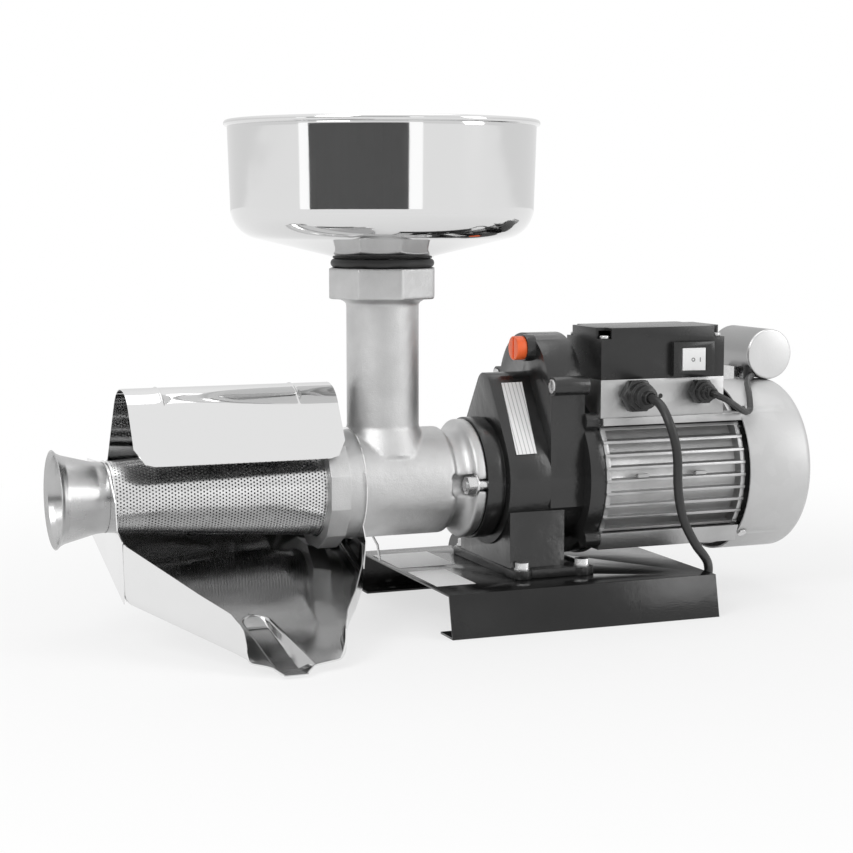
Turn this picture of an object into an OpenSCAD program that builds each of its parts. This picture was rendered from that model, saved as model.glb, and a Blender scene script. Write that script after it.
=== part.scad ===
// Electric tomato strainer. A motor and gearbox on a folded base plate turn an
// auger inside a cone of perforated steel, with a hopper above and a tray below.
// X runs along the shaft to the motor, Y to the rear and Z up.
// The origin is the middle of the base, on the floor. All sizes in millimetres.

/* [Base plate] */
// Length of the base along the shaft
base_l = 222.8; // [180:0.2:320]
// Width of the base over its top
base_w = 194.5; // [160:0.5:280]
// Height of the base
base_h = 32.2; // [20:0.2:60]
// Thickness of the folded sheet
base_t = 1.6; // [1:0.1:3]
// How far each long side leans out at the floor
base_lean = 6.7; // [0:0.1:12]
// Width of the lips turned in along the floor
base_lip = 23.9; // [12:0.1:40]
// Bench screw holes: distance along the base
bench_dx = 170; // [100:1:200]
// Bench screw holes: diameter
bench_d = 6.5; // [4:0.1:9]

/* [Gearbox] */
// Height of the shaft above the base
shaft_h = 71.8; // [60:0.1:110]
// Radius of the lower round of the front cover
cover_r = 53; // [50:0.5:70]
// Radius of the upper round of the front cover
cover_top_r = 14; // [10:0.5:25]
// Height of the upper round above the shaft
cover_top_h = 68; // [60:0.5:90]
// Depth of the front cover along the shaft
cover_l = 34.5; // [30:0.5:60]
// Depth of the rear case along the shaft
case_l = 28.5; // [26:0.5:50]
// Radius of the dome over the rear case
dome_r = 48; // [46:0.5:60]
// Height of the centre of the dome above the shaft
dome_h = 64.5; // [60:0.5:80]
// Half width of the square part of the rear case
case_half = 51.5; // [50:0.5:65]
// Wall of both castings
wall = 4; // [3:0.2:5]
// Radius of the round nose
nose_r = 47.5; // [40:0.5:60]
// Length of the nose
nose_l = 15.8; // [12:0.2:30]

/* [Gears] */
// Teeth on the motor pinion
teeth_a = 18; // [14:1:24]
// Teeth on the large wheel of the cross shaft
teeth_b = 70; // [60:1:80]
// Teeth on the small pinion of the cross shaft
teeth_c = 12; // [11:1:16]
// Teeth on the output gear
teeth_d = 43; // [36:1:48]
// Module of the output gear pair
module_out = 2; // [1.8:0.05:2.1]
// Running clearance of a shaft in its bearing
run_gap = 0.05; // [0.02:0.01:0.1]

/* [Strainer] */
// Outer radius of the barrel
barrel_r = 41.5; // [36:0.5:50]
// Wall of the barrel
barrel_wall = 4.2; // [3:0.2:6]
// Length of the barrel from the flange to the ring nut
barrel_l = 101.9; // [95:0.1:140]
// Radius of the barrel flange
flange_r = 46.2; // [44:0.1:60]
// Thickness of the barrel flange
flange_t = 8.3; // [6:0.1:12]
// Distance of the feed tube from the flange
tube_back = 60; // [50:0.5:80]
// Outer radius of the feed tube
tube_r = 27.7; // [22:0.1:32]
// Height of the top of the collar above the shaft
collar_h = 165; // [140:0.5:200]
// Height of the collar
collar_l = 23.5; // [16:0.5:32]
// Radius of the collar over its corners
collar_r = 42.9; // [38:0.1:50]
// Width of the ring nut
nut_l = 15.6; // [12:0.2:24]
// Distance from the shaft to a flat of the ring nut
nut_flat = 46.3; // [45:0.1:56]
// Length of the perforated cone
cone_l = 150.5; // [120:0.5:200]
// Outer radius of the cone at the ring nut
cone_r1 = 37; // [33:0.2:38]
// Outer radius of the cone at its small end
cone_r2 = 26.7; // [26:0.1:30]
// Sheet thickness of the cone, the tray and the guard
sheet = 0.8; // [0.6:0.1:1.2]
// Radius of the auger over its flight in the barrel
auger_r = 36.3; // [30:0.1:37]
// Pitch of the auger
auger_pitch = 42; // [30:1:60]
// Length of the waste outlet
funnel_l = 37; // [30:0.5:60]
// Radius of the mouth of the waste outlet
funnel_r = 36.6; // [34:0.1:45]

/* [Hopper] */
// Outer radius of the hopper rim
hopper_r = 119.5; // [90:0.5:140]
// Radius of the hopper wall under the rim
hopper_wall_r = 114.9; // [85:0.5:135]
// Height of the hopper above its seal
hopper_h = 103.5; // [70:0.5:130]
// Rise of the shallow cone in the hopper floor
hopper_rise = 14; // [8:0.5:25]
// Radius of the rubber seal under the hopper
seal_r = 39.5; // [36:0.1:40]

/* [Tray and guard] */
// Distance of the hinge wire behind the shaft
wire_y = 52.6; // [52:0.1:60]
// Height of the hinge wire above the shaft
wire_z = 19; // [16:0.1:24]
// Radius of the hinge wire
wire_r = 1; // [0.8:0.1:1.5]
// Height of the crown of the guard above the shaft
crown_h = 79; // [70:0.5:90]
// Radius of the crown of the guard
crown_r = 28; // [20:0.5:30]
// Half the angle between the legs of the guard
leg_angle = 30.6; // [25:0.1:36]
// Length of the guard along the shaft
guard_l = 159; // [140:0.5:170]

/* [Motor] */
// Outer radius of the fan cowl
cowl_r = 69.5; // [66:0.1:80]
// Length of the fan cowl
cowl_l = 58.5; // [50:0.5:90]
// Length of the finned housing
motor_l = 122.5; // [110:0.5:180]
// Radius over the fins
fin_r = 66; // [60:0.5:68]
// Spacing of the fins
fin_pitch = 9.9; // [8:0.1:12]
// Thickness of a fin
fin_t = 2.2; // [1.6:0.1:3]
// Radius of the motor shaft
motor_shaft_r = 7.5; // [6:0.1:9]

/* [Terminal box] */
// Length of the terminal box
box_l = 108; // [90:0.5:120]
// Depth of the terminal box, front to rear
box_d = 61; // [50:0.5:90]
// Distance of the front of the box from the shaft
box_front = 57; // [50:0.5:66]
// Height of the metal lower part
box_low_h = 29.6; // [24:0.2:40]
// Height of the lid
lid_h = 40; // [30:0.5:50]
// Radius of the capacitor
cap_r = 20.6; // [17:0.1:24]
// Length of the capacitor
cap_l = 62; // [50:0.5:80]

/* [Part to show] */
// One part, or all

/* [Hidden] */
$fn = 96;
eps = 0.01;
snug = 0.02;
loose = 0.3;

// Heights and stations along the shaft
az = base_h + shaft_h;
case_x1 = 20;
cover_x1 = case_x1 - case_l;
cover_x0 = cover_x1 - cover_l;
nose_x = cover_x0 - nose_l;
flange_x = nose_x - flange_t;
barrel_x = flange_x - barrel_l;
nut_x = barrel_x - nut_l;
cone_x1 = nut_x + 1.7;
cone_x0 = cone_x1 - cone_l;
plate_x = cone_x0 - 10.6;
funnel_x1 = plate_x - 0.4;
funnel_x0 = funnel_x1 - funnel_l;
tube_x = flange_x - tube_back;
bore_r = barrel_r - barrel_wall;
drive_x = flange_x - 21;

// Gears
centre = module_out * (teeth_c + teeth_d) / 2;
module_in = 2 * centre / (teeth_a + teeth_b);
cross_z = az + centre;
shaft_r = 10;
cross_r = 6;
mid_x = cover_x1 - 10.5;
mid_t = 7.5;
gear_d_x = cover_x0 + 7;
gear_b_x = cover_x1 + 4.5;

// Motor
bell_l = 13;
motor_x0 = case_x1 + bell_l;
motor_x1 = motor_x0 + motor_l;
shield_l = 10.5;
cowl_x0 = motor_x1 + 2.5;
cowl_x1 = cowl_x0 + cowl_l;
core_r = 56;
stator_r = 50;
rotor_r = 29.6;
bearing_r = 17.5;

// Terminal box
box_x = motor_x0 - 2;
box_y = -box_front;
box_z = az + 48.5;
lid_z = box_z + box_low_h;
lid_top = lid_z + lid_h;
gland_a = [box_x + 29.5, box_z + 17];
gland_b = [box_x + box_l - 22, box_z + 18.5];
switch_x = box_x + box_l - 29.5;
switch_z = lid_z + 14.5;
bezel = [36, 27, 5];
rocker = [21, 17.5];
cap_c = [cowl_x1 - 8, -12, az + cowl_r + cap_r + 0.1];

// Strainer, hopper, tray
collar_z = az + collar_h;
seal_t = 6.9;
spigot_r = 30;
floor_z = collar_z + seal_t + 0.1;
stud_pcd = 84;
stud_r = 4;
guard_x1 = nut_x + 13;
guard_x0 = guard_x1 - guard_l;
hinge_z = az + wire_z;
bolt_x = [-35, 15.5];
bolt_y = 57;

// Shared forms

// A flat outline in Y and Z pushed along X from x0 to x1
module along(x0, x1) {
    translate([x0, 0, 0]) rotate([90, 0, 90]) linear_extrude(x1 - x0) children();
}

// A round bar along X
module bar(x0, x1, r, y = 0, z = az) {
    translate([x0, y, z]) rotate([0, 90, 0]) cylinder(h = x1 - x0, r = r);
}

// A ring along X
module ring(x0, x1, r, hole, y = 0, z = az) {
    difference() {
        bar(x0, x1, r, y, z);
        bar(x0 - 1, x1 + 1, hole, y, z);
    }
}

// A body turned about the shaft from [radius, x] points
module turned(points) {
    translate([0, 0, az]) rotate([0, 90, 0]) rotate_extrude() polygon(points);
}

// A round rod from a to b, with a ball at b where the next stretch starts
module rod(a, b, r, ball = true) {
    d = b - a;
    translate(a) rotate([0, acos(d.z / norm(d)), atan2(d.y, d.x)]) cylinder(h = norm(d), r = r);
    if (ball) translate(b) sphere(r * 1.04);
}

// Points of a round stretch in [radius, height]
function arc(c, r, a0, a1, n = 8) =
    [for (i = [0 : n]) let (a = a0 + (a1 - a0) * i / n) c + r * [cos(a), sin(a)]];

function unit(v) = v / norm(v);

// A smooth curve through the points, n steps to each stretch
function smooth(p, n) = [
    for (i = [0 : len(p) - 2]) for (j = [0 : n - 1])
        let (a = p[max(i - 1, 0)], b = p[i], c = p[i + 1], d = p[min(i + 2, len(p) - 1)], t = j / n)
        0.5 * (2 * b + (c - a) * t + (2 * a - 5 * b + 4 * c - d) * t * t
            + (3 * b - a - 3 * c + d) * t * t * t),
    p[len(p) - 1]];

// A tube of n sides along a path, where no stretch runs along the guide
module tube(path, r, n = 10, guide = [0.55, -0.6, 0.58]) {
    last = len(path) - 1;
    points = [
        for (i = [0 : last])
            let (t = unit(path[min(i + 1, last)] - path[max(i - 1, 0)]), u = unit(cross(t, guide)),
                v = cross(t, u))
            for (k = [0 : n - 1]) path[i] + r * (cos(360 * k / n) * u + sin(360 * k / n) * v)];
    sides = [
        for (i = [0 : last - 1]) for (k = [0 : n - 1])
            let (a = i * n + k, b = i * n + (k + 1) % n) each [[a, a + n, b], [b, a + n, b + n]]];
    polyhedron(points, concat(sides, [[for (k = [0 : n - 1]) k],
        [for (k = [n - 1 : -1 : 0]) last * n + k]]), convexity = 6);
}

// Base plate, folded from one sheet and open at both ends
module base_profile() {
    top = base_w / 2;
    foot = top + base_lean;
    lean_t = base_t * 1.03;
    half = [[top, base_h], [foot, 0], [foot - base_lip, 0], [foot - base_lip, base_t],
        [foot - lean_t, base_t], [top - lean_t, base_h - base_t]];
    polygon(concat(half, [for (i = [5 : -1 : 0]) [-half[i].x, half[i].y]]));
}

module base_plate() {
    color([0.16, 0.16, 0.17]) difference() {
        along(-base_l / 2, base_l / 2) base_profile();
        for (x = [-1, 1], y = [-1, 1])
            translate([x * bench_dx / 2, y * (base_w / 2 + base_lean - base_lip / 2), -1])
                cylinder(h = base_t + 2, r = bench_d / 2);
        at_bolts() translate([0, 0, base_h - 10]) cylinder(h = 20, r = 3.3);
    }
}

// Two data sheets stuck to the base, left blank
sheet_x = -base_l / 2 + 3.6;
sheet_w = 61.5;
sheet_t = 0.2;

module base_sheets() {
    color([0.93, 0.93, 0.92]) {
        translate([sheet_x, -sheet_w - 2, base_h + snug]) cube([31.8, sheet_w, sheet_t]);
        translate([sheet_x, 15, base_h + snug]) cube([47.6, sheet_w, sheet_t]);
    }
}

module at_bolts() {
    for (x = bolt_x, y = [-bolt_y, bolt_y]) translate([x, y, 0]) children();
}

// Foot that carries the gearbox, with a saddle for the front cover
module foot_casting() {
    half_w = 49;
    flange_h = 6.5;
    x0 = cover_x0 + 1.5;
    color([0.11, 0.11, 0.12]) difference() {
        union() {
            translate([x0, -half_w, base_h]) cube([46, 2 * half_w, az - 22 - base_h]);
            translate([x0 - 1.5, -bolt_y - 4, base_h]) cube([67, 2 * bolt_y + 8, flange_h]);
            at_bolts() translate([0, 0, base_h]) cylinder(h = flange_h, r = 8);
        }
        bar(x0 - 3, x0 + 67, cover_r + snug);
        translate([x0 + 5, -half_w + 5, base_h - 1]) cube([36, 2 * half_w - 10, 13]);
        at_bolts() translate([0, 0, base_h - 1]) cylinder(h = 20, r = 3.3);
    }
}

module foot_bolts() {
    head_z = base_h + 6.5 + 1.6;
    color([0.82, 0.83, 0.85]) at_bolts() {
        translate([0, 0, base_h + 6.5]) cylinder(h = 1.6, r = 6.2);
        translate([0, 0, head_z]) cylinder(h = 4.2, r = 5.77, $fn = 6);
        translate([0, 0, base_h - 11]) cylinder(h = head_z - base_h + 12, r = 3);
        translate([0, 0, base_h - base_t - 5]) cylinder(h = 5, r = 5.77, $fn = 6);
    }
}

// Outline of the front cover: two rounds and their common tangents
module cover_outline(inset = 0) {
    r1 = cover_r - inset;
    r2 = cover_top_r - inset;
    lean = asin((r1 - r2) / cover_top_h);
    side = [cos(lean), sin(lean)];
    // The sides start a hair inside the rounds
    low = (r1 - snug) * side;
    high = [0, cover_top_h] + (r2 - snug) * side;
    translate([0, az]) {
        circle(r1);
        translate([0, cover_top_h]) circle(r2);
        polygon([low, high, [-high.x, high.y], [-low.x, low.y]]);
    }
}

module front_cover() {
    color([0.12, 0.12, 0.13]) difference() {
        union() {
            along(cover_x0, cover_x1 - snug) cover_outline();
            bar(nose_x, nose_x + nose_l - 3, nose_r);
            bar(nose_x + 1, cover_x0 + 1, nose_r - 3);
        }
        difference() {
            along(cover_x0 + wall, cover_x1 + 1) cover_outline(wall);
            bar(cover_x0, cover_x0 + 6, 25);
            bar(cover_x0, cover_x0 + 6, 13, 0, cross_z);
        }
        bar(nose_x - 1, cover_x0 + 7, 21);
        bar(cover_x0 + 1, cover_x0 + 7, 9, 0, cross_z);
        stud_places() bar(nose_x - 1, nose_x + 14, stud_r, 0, 0);
    }
}

// Outline of the rear case: shaft round, square middle, dome and two screw bosses
module case_outline(inset = 0) {
    translate([0, az]) {
        circle(cover_r - inset);
        translate([-case_half + inset, -20 + inset]) square([2 * (case_half - inset), 88 - inset]);
        translate([0, dome_h]) circle(dome_r - inset);
    }
}

screw_y = 53;
screw_z = 74.5;
plug_h = 101.5;

module gear_case() {
    back = case_x1 - 5;
    color([0.13, 0.13, 0.14]) difference() {
        union() {
            along(cover_x1, case_x1) case_outline();
            for (y = [-1, 1]) bar(cover_x1, case_x1 + 0.5, 7.4, y * screw_y, az + screw_z);
            bar(cover_x1 - 7, cover_x1 + 1, 10.5, -13, az + plug_h);
        }
        difference() {
            along(cover_x1 + 3, back) case_outline(wall + 1);
            bar(back - 4, back + 1, 13, 0, cross_z);
        }
        along(cover_x1 - 1, cover_x1 + 4) cover_outline(wall);
        bar(back - 5, case_x1 - 1, 9, 0, cross_z);
        bar(back - 1, case_x1 + 1, 13.5);
        for (y = [-1, 1]) {
            bar(cover_x1 - 1, case_x1 - 2, 3, y * screw_y, az + screw_z);
            bar(cover_x1 - 1, cover_x1 + 3, 5.7, y * screw_y, az + screw_z);
        }
        bar(cover_x1 - 8, cover_x1 + 4, 6.05, -13, az + plug_h);
    }
}

// Bearing plate between the two gear pairs
module middle_plate() {
    color([0.6, 0.6, 0.61]) difference() {
        along(mid_x, mid_x + mid_t) cover_outline(wall + snug);
        bar(mid_x - 1, mid_x + mid_t + 1, 16);
        bar(mid_x - 1, mid_x + mid_t + 1, cross_r + 4, 0, cross_z);
    }
}

// Gears

function inv_angle(r, base) = let (c = min(base / r, 1)) tan(acos(c)) * 180 / PI - acos(c);

// Half the angle that a tooth takes at radius r, with play against its mate
function half_tooth(m, z, r) =
    let (pitch = m * z / 2, base = pitch * cos(20))
    90 / z * 0.88 + inv_angle(pitch, base) - inv_angle(max(r, base), base);

// One gear outline, its first tooth along the first axis
module gear_outline(m, z) {
    pitch = m * z / 2;
    radii = [pitch - 1.2 * m, pitch - 0.6 * m, pitch, pitch + 0.5 * m, pitch + 0.9 * m];
    half = [for (r = radii) half_tooth(m, z, r)];
    polygon([for (i = [0 : z - 1]) each concat(
        [for (k = [0 : 4]) let (a = 360 * i / z - half[k]) radii[k] * [cos(a), sin(a)]],
        [for (k = [4 : -1 : 0]) let (a = 360 * i / z + half[k]) radii[k] * [cos(a), sin(a)]])]);
}

module gear(x0, x1, m, z, turn, z0) {
    translate([0, 0, z0]) along(x0, x1) rotate(turn) gear_outline(m, z);
}

module output_shaft() {
    color([0.75, 0.75, 0.77]) {
        bar(drive_x - 2, gear_d_x + 13, shaft_r);
        bar(gear_d_x + 13 - eps, mid_x + mid_t, 8);
        translate([drive_x - 20, -7, az - 7]) cube([18 + eps, 14, 14]);
    }
}

module output_gear() {
    color([0.62, 0.62, 0.6]) difference() {
        gear(gear_d_x, gear_d_x + 12, module_out, teeth_d, 90, az);
        bar(gear_d_x - 1, gear_d_x + 13, shaft_r);
        for (i = [0 : 5]) rotate_about(az, 60 * i + 30) bar(gear_d_x - 1, gear_d_x + 13, 8, 0, 26);
    }
}

// Turns its children about a line along X at height z
module rotate_about(z, a) {
    translate([0, 0, z]) rotate([a, 0, 0]) children();
}

module cross_shaft() {
    color([0.75, 0.75, 0.77]) bar(cover_x0 + 1.5, case_x1 - 1.5, cross_r, 0, cross_z);
}

module cross_wheel() {
    turn = 270 + 180 / teeth_b;
    color([0.62, 0.62, 0.6]) difference() {
        union() {
            gear(gear_b_x, gear_b_x + 10, module_in, teeth_b, turn, cross_z);
            bar(gear_b_x - 1.5, gear_b_x + 11, 12, 0, cross_z);
        }
        bar(gear_b_x - 3, gear_b_x + 13, cross_r, 0, cross_z);
        for (i = [0 : 5]) rotate_about(cross_z, 60 * i) bar(gear_b_x - 1, gear_b_x + 11, 8, 0, 26);
    }
}

module cross_pinion() {
    color([0.66, 0.66, 0.65]) difference() {
        gear(gear_d_x - 0.5, gear_d_x + 13, module_out, teeth_c, 270 + 180 / teeth_c, cross_z);
        bar(gear_d_x - 2, gear_d_x + 15, cross_r, 0, cross_z);
    }
}

module cross_bushes() {
    color([0.72, 0.55, 0.28]) {
        ring(cover_x0 + 1.1, cover_x0 + 6, 9 - snug, cross_r + run_gap, 0, cross_z);
        ring(case_x1 - 9, case_x1 - 1.1, 9 - snug, cross_r + run_gap, 0, cross_z);
    }
}

module output_bearings() {
    color([0.78, 0.78, 0.8]) {
        ring(cover_x0 - 12, cover_x0 + 3, 21 - snug, shaft_r + run_gap);
        ring(mid_x + 0.3, mid_x + mid_t - 0.3, 16 - snug, 8 + run_gap);
    }
}

module shaft_seal() {
    color([0.1, 0.1, 0.1]) ring(drive_x + 6, drive_x + 13, 14 - snug, shaft_r + run_gap);
}

// Orange filler plug on a short neck of the rear case
module oil_plug() {
    color([0.93, 0.3, 0.13]) {
        bar(cover_x1 - 7, cover_x1 + 3, 6, -13, az + plug_h);
        difference() {
            bar(cover_x1 - 15, cover_x1 - 7 - snug, 9.3, -13, az + plug_h);
            translate([cover_x1 - 16, -14.2, az + plug_h - 8]) cube([2.5, 2.4, 16]);
        }
    }
}

module case_screws() {
    color([0.8, 0.8, 0.82]) for (y = [-1, 1]) difference() {
        union() {
            bar(cover_x1 - 1, cover_x1 + 3 - snug, 5.4, y * screw_y, az + screw_z);
            bar(cover_x1 + 2, case_x1 - 2, 3 - snug, y * screw_y, az + screw_z);
        }
        translate([cover_x1 - 2, y * screw_y, az + screw_z]) rotate([0, 90, 0])
            cylinder(h = 3.5, r = 2.9, $fn = 6);
    }
}

module stud_places() {
    for (a = [90, 270]) rotate_about(az, a) translate([0, 0, stud_pcd / 2]) children();
}

module flange_studs() {
    color([0.8, 0.8, 0.82]) stud_places() bar(flange_x - 9.5, nose_x + 13.5, stud_r - snug, 0, 0);
}

module flange_nuts() {
    color([0.85, 0.85, 0.87]) stud_places() difference() {
        union() {
            bar(flange_x - 1.6 - snug, flange_x - snug, 8, 0, 0);
            translate([flange_x - 8.2, 0, 0]) rotate([0, 90, 0]) cylinder(h = 6.6, r = 7.5, $fn = 6);
        }
        bar(flange_x - 10, flange_x + 1, stud_r, 0, 0);
    }
}

// Motor

lug = [49, 46];

module end_bell() {
    color([0.1, 0.1, 0.11]) difference() {
        union() {
            bar(case_x1, motor_x0, 64);
            for (y = [-1, 1], z = [-1, 1]) bar(case_x1, motor_x0, 6.5, y * lug.x, az + z * lug.y);
        }
        bar(case_x1 - 1, motor_x0 + 1, bearing_r);
        translate([box_x - snug, box_y - 1, box_z - snug]) cube([20, box_d + 2, 60]);
    }
}

module motor_outline() {
    translate([0, az]) {
        circle(core_r);
        intersection() {
            circle(fin_r);
            for (k = [-4 : 4]) translate([-fin_r, k * fin_pitch - fin_t / 2]) square([2 * fin_r, fin_t]);
        }
        translate([-box_front - 1, 42.5]) square([box_d + 4, 6]);
        translate([-30, 30]) square([34, 14]);
        polygon([[-56, -42], [-50, -55.5], [50, -55.5], [56, -42]]);
    }
}

module motor_housing() {
    color([0.72, 0.73, 0.74]) difference() {
        union() {
            along(motor_x0, motor_x1) motor_outline();
            difference() {
                bar(motor_x0, motor_x0 + 4, fin_r - 1);
                translate([box_x, box_y - 5, box_z - snug]) cube([box_l, box_d + 8, 60]);
            }
            bar(motor_x1 - 4, motor_x1, fin_r - 1);
        }
        bar(motor_x0 - 1, motor_x1 + 1, stator_r);
    }
}

stator_x0 = motor_x0 + 28;
stator_x1 = motor_x1 - 30;

module stator() {
    color([0.5, 0.5, 0.52]) difference() {
        bar(stator_x0, stator_x1, stator_r - snug);
        bar(stator_x0 - 1, stator_x1 + 1, rotor_r + 0.4);
        for (i = [0 : 23]) rotate_about(az, 15 * i) translate([stator_x0 - 1, -1.6, 31.5])
            cube([stator_x1 - stator_x0 + 2, 3.2, 10]);
    }
}

module windings() {
    color([0.66, 0.33, 0.16]) {
        ring(stator_x0 - 15, stator_x0 - snug, 45, 33);
        ring(stator_x1 + snug, stator_x1 + 15, 45, 33);
    }
}

module rotor() {
    color([0.6, 0.6, 0.62]) difference() {
        union() {
            bar(stator_x0, stator_x1, rotor_r);
            ring(stator_x0 - 8, stator_x1 + 8, rotor_r - 2, 20);
        }
        bar(stator_x0 - 10, stator_x1 + 10, motor_shaft_r);
    }
}

module motor_shaft() {
    color([0.78, 0.78, 0.8]) {
        gear(gear_b_x - 1, gear_b_x + 12, module_in, teeth_a, 90, az);
        bar(gear_b_x + 11, cowl_x1 - 20, motor_shaft_r);
    }
}

module motor_bearings() {
    color([0.78, 0.78, 0.8]) {
        ring(motor_x0 - 11.5, motor_x0 - 0.5, bearing_r - snug, motor_shaft_r + run_gap);
        ring(motor_x1 + 0.2, motor_x1 + shield_l - 0.2, bearing_r - snug, motor_shaft_r + run_gap);
    }
}

cowl_lugs = [45, 135, 225, 315];

module rear_shield() {
    color([0.1, 0.1, 0.11]) difference() {
        union() {
            bar(motor_x1, motor_x1 + shield_l, fin_r - 2);
            for (a = cowl_lugs) rotate_about(az, a)
                translate([motor_x1 + 3, -6, 50]) cube([shield_l - 3, 12, cowl_r - 1.2 - 50 - 0.3]);
        }
        bar(motor_x1 - 1, motor_x1 + shield_l + 1, bearing_r);
        for (a = cowl_lugs) rotate_about(az, a)
            translate([motor_x1 + 7, 0, 55]) cylinder(h = 20, r = 2.05, $fn = 24);
    }
}

module cooling_fan() {
    x0 = motor_x1 + shield_l + 3;
    color([0.12, 0.12, 0.13]) difference() {
        union() {
            bar(x0, x0 + 22, 14);
            bar(x0, x0 + 2, 60);
            for (i = [0 : 6]) rotate_about(az, 360 / 7 * i)
                translate([x0 + 1, -1.1, 12]) cube([20, 2.2, 47]);
        }
        bar(x0 - 1, x0 + 23, motor_shaft_r);
    }
}

module fan_cowl() {
    t = 1.2;
    r = 8;
    outer = concat([[cowl_r, cowl_x0]], arc([cowl_r - r, cowl_x1 - r], r, 0, 90), [[0, cowl_x1]]);
    inner = concat([[0, cowl_x1 - t]], arc([cowl_r - r, cowl_x1 - r], r - t, 90, 0),
        [[cowl_r - t, cowl_x0]]);
    color([0.78, 0.79, 0.8]) difference() {
        turned(concat(outer, inner));
        for (row = [1 : 4], i = [0 : 5 * row]) rotate_about(az, 360 / (5 * row + 1) * i)
            bar(cowl_x1 - 3, cowl_x1 + 1, 3.2, 0, 12 * row);
        for (a = cowl_lugs) rotate_about(az, a)
            translate([motor_x1 + 7, 0, 55]) cylinder(h = 20, r = 2.3, $fn = 24);
    }
}

module cowl_screws() {
    color([0.8, 0.8, 0.82]) for (a = cowl_lugs) rotate_about(az, a) translate([motor_x1 + 7, 0, 0]) {
        translate([0, 0, cowl_r - 8]) cylinder(h = 8 + snug, r = 2, $fn = 24);
        translate([0, 0, cowl_r + snug]) cylinder(h = 1.8, r = 3.6, $fn = 24);
    }
}

// Terminal box, lid, switch and glands

module terminal_box() {
    color([0.74, 0.75, 0.76]) difference() {
        translate([box_x, box_y, box_z]) cube([box_l, box_d, box_low_h]);
        translate([box_x + 3, box_y + 3, az + core_r + 3]) cube([box_l - 6, box_d - 6, box_low_h]);
        bar(box_x - 1, box_x + box_l + 1, core_r + snug);
        for (g = [gland_a, gland_b]) translate([g.x, box_y - 1, g.y]) rotate([-90, 0, 0])
            cylinder(h = 6, r = 6);
    }
}

notch = [9, 10, 8.5];

module at_lid_corners() {
    for (x = [0, 1], y = [0, 1])
        translate([box_x + x * box_l, box_y + y * box_d, 0]) mirror([x, 0, 0]) mirror([0, y, 0]) children();
}

module terminal_lid() {
    color([0.12, 0.12, 0.13]) difference() {
        translate([box_x, box_y, lid_z + snug]) cube([box_l, box_d, lid_h - snug]);
        translate([box_x + 2.5, box_y + 2.5, lid_z - 1]) cube([box_l - 5, box_d - 5, lid_h - 1.5]);
        at_lid_corners() translate([-1, -1, lid_top - notch.z]) cube([notch.x + 1, notch.y + 1, 20]);
        translate([switch_x - 14, box_y - 1, switch_z - 10]) cube([28, 6, 20]);
        at_lid_corners() translate([5, 5, lid_z - 1]) cylinder(h = lid_h, r = 2.1, $fn = 24);
    }
    // Corner posts that take the lid screws
    color([0.12, 0.12, 0.13]) at_lid_corners() difference() {
        translate([2, 2, lid_z + snug]) cube([8, 8, lid_h - notch.z - snug]);
        translate([5, 5, lid_z - 1]) cylinder(h = lid_h + 2, r = 2.1, $fn = 24);
    }
}

module lid_screws() {
    head_z = lid_top - notch.z + snug;
    color([0.85, 0.85, 0.86]) at_lid_corners() translate([5, 5, 0]) {
        translate([0, 0, head_z]) cylinder(h = 2.6, r = 3.8, $fn = 32);
        translate([0, 0, lid_z + 3]) cylinder(h = head_z - lid_z - 2, r = 2, $fn = 24);
    }
}

pivot = [switch_x, box_y - 1.5, switch_z];

module switch_bezel() {
    y0 = box_y - bezel.z;
    color([0.09, 0.09, 0.1]) difference() {
        union() {
            translate([switch_x - bezel.x / 2, y0, switch_z - bezel.y / 2])
                cube([bezel.x, bezel.z - snug, bezel.y]);
            translate([switch_x - 13.8, box_y - 1, switch_z - 9.8]) cube([27.6, 16, 19.6]);
        }
        translate([switch_x - rocker.x / 2 - loose, y0 - 1, switch_z - rocker.y / 2 - loose])
            cube([rocker.x + 2 * loose, bezel.z + 9, rocker.y + 2 * loose]);
        translate(pivot - [0, 0, rocker.y / 2 + 2]) cylinder(h = rocker.y + 4, r = 1 + run_gap, $fn = 24);
    }
}

// The rocker turns on an upright pin, and rests with its right half out
module switch_rocker() {
    half = rocker.x / 2;
    color([0.92, 0.92, 0.9]) translate(pivot) {
        translate([0, 0, -rocker.y / 2]) rotate(-8) linear_extrude(rocker.y)
            polygon([[-half * 0.9, -4.6], [0, -3.2], [half * 0.9, -4.6], [half - 0.1, 0],
                [half * 0.8, 4.5], [-half * 0.8, 4.5], [-half + 0.1, 0]]);
        translate([0, 0, -rocker.y / 2 - 0.9]) cylinder(h = rocker.y + 1.8, r = 1, $fn = 24);
    }
}

// A hexagon body and a stepped cap, bored for the cable
module gland(at, flats, cable_r, long) {
    step = (long - 8) / 3;
    translate([at.x, box_y - snug, at.y]) rotate([90, 0, 0]) difference() {
        union() {
            cylinder(h = 8, r = flats / 2 / cos(30), $fn = 6);
            cylinder(h = 8 + step, r = flats / 2 - 1);
            cylinder(h = 8 + 2 * step, r = flats / 2 - 3);
            cylinder(h = long, r = cable_r + 2);
            translate([0, 0, -6]) cylinder(h = 7, r = 6 - snug);
        }
        translate([0, 0, -7]) cylinder(h = 50, r = cable_r + 0.1);
    }
}

module mains_gland() {
    color([0.1, 0.1, 0.11]) gland(gland_a, 24, cord_r, 27);
}

module capacitor_gland() {
    color([0.1, 0.1, 0.11]) gland(gland_b, 18, lead_r, 22);
}

module capacitor() {
    color([0.8, 0.81, 0.82]) translate([cap_c.x, cap_c.y, cap_c.z]) rotate([-90, 0, 0]) rotate_extrude()
        polygon(concat([[0, 0], [cap_r - 1, 0], [cap_r, 1], [cap_r, cap_l - 3]],
            arc([cap_r - 3, cap_l - 3], 3, 0, 90, 4), [[0, cap_l]]));
}

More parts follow.
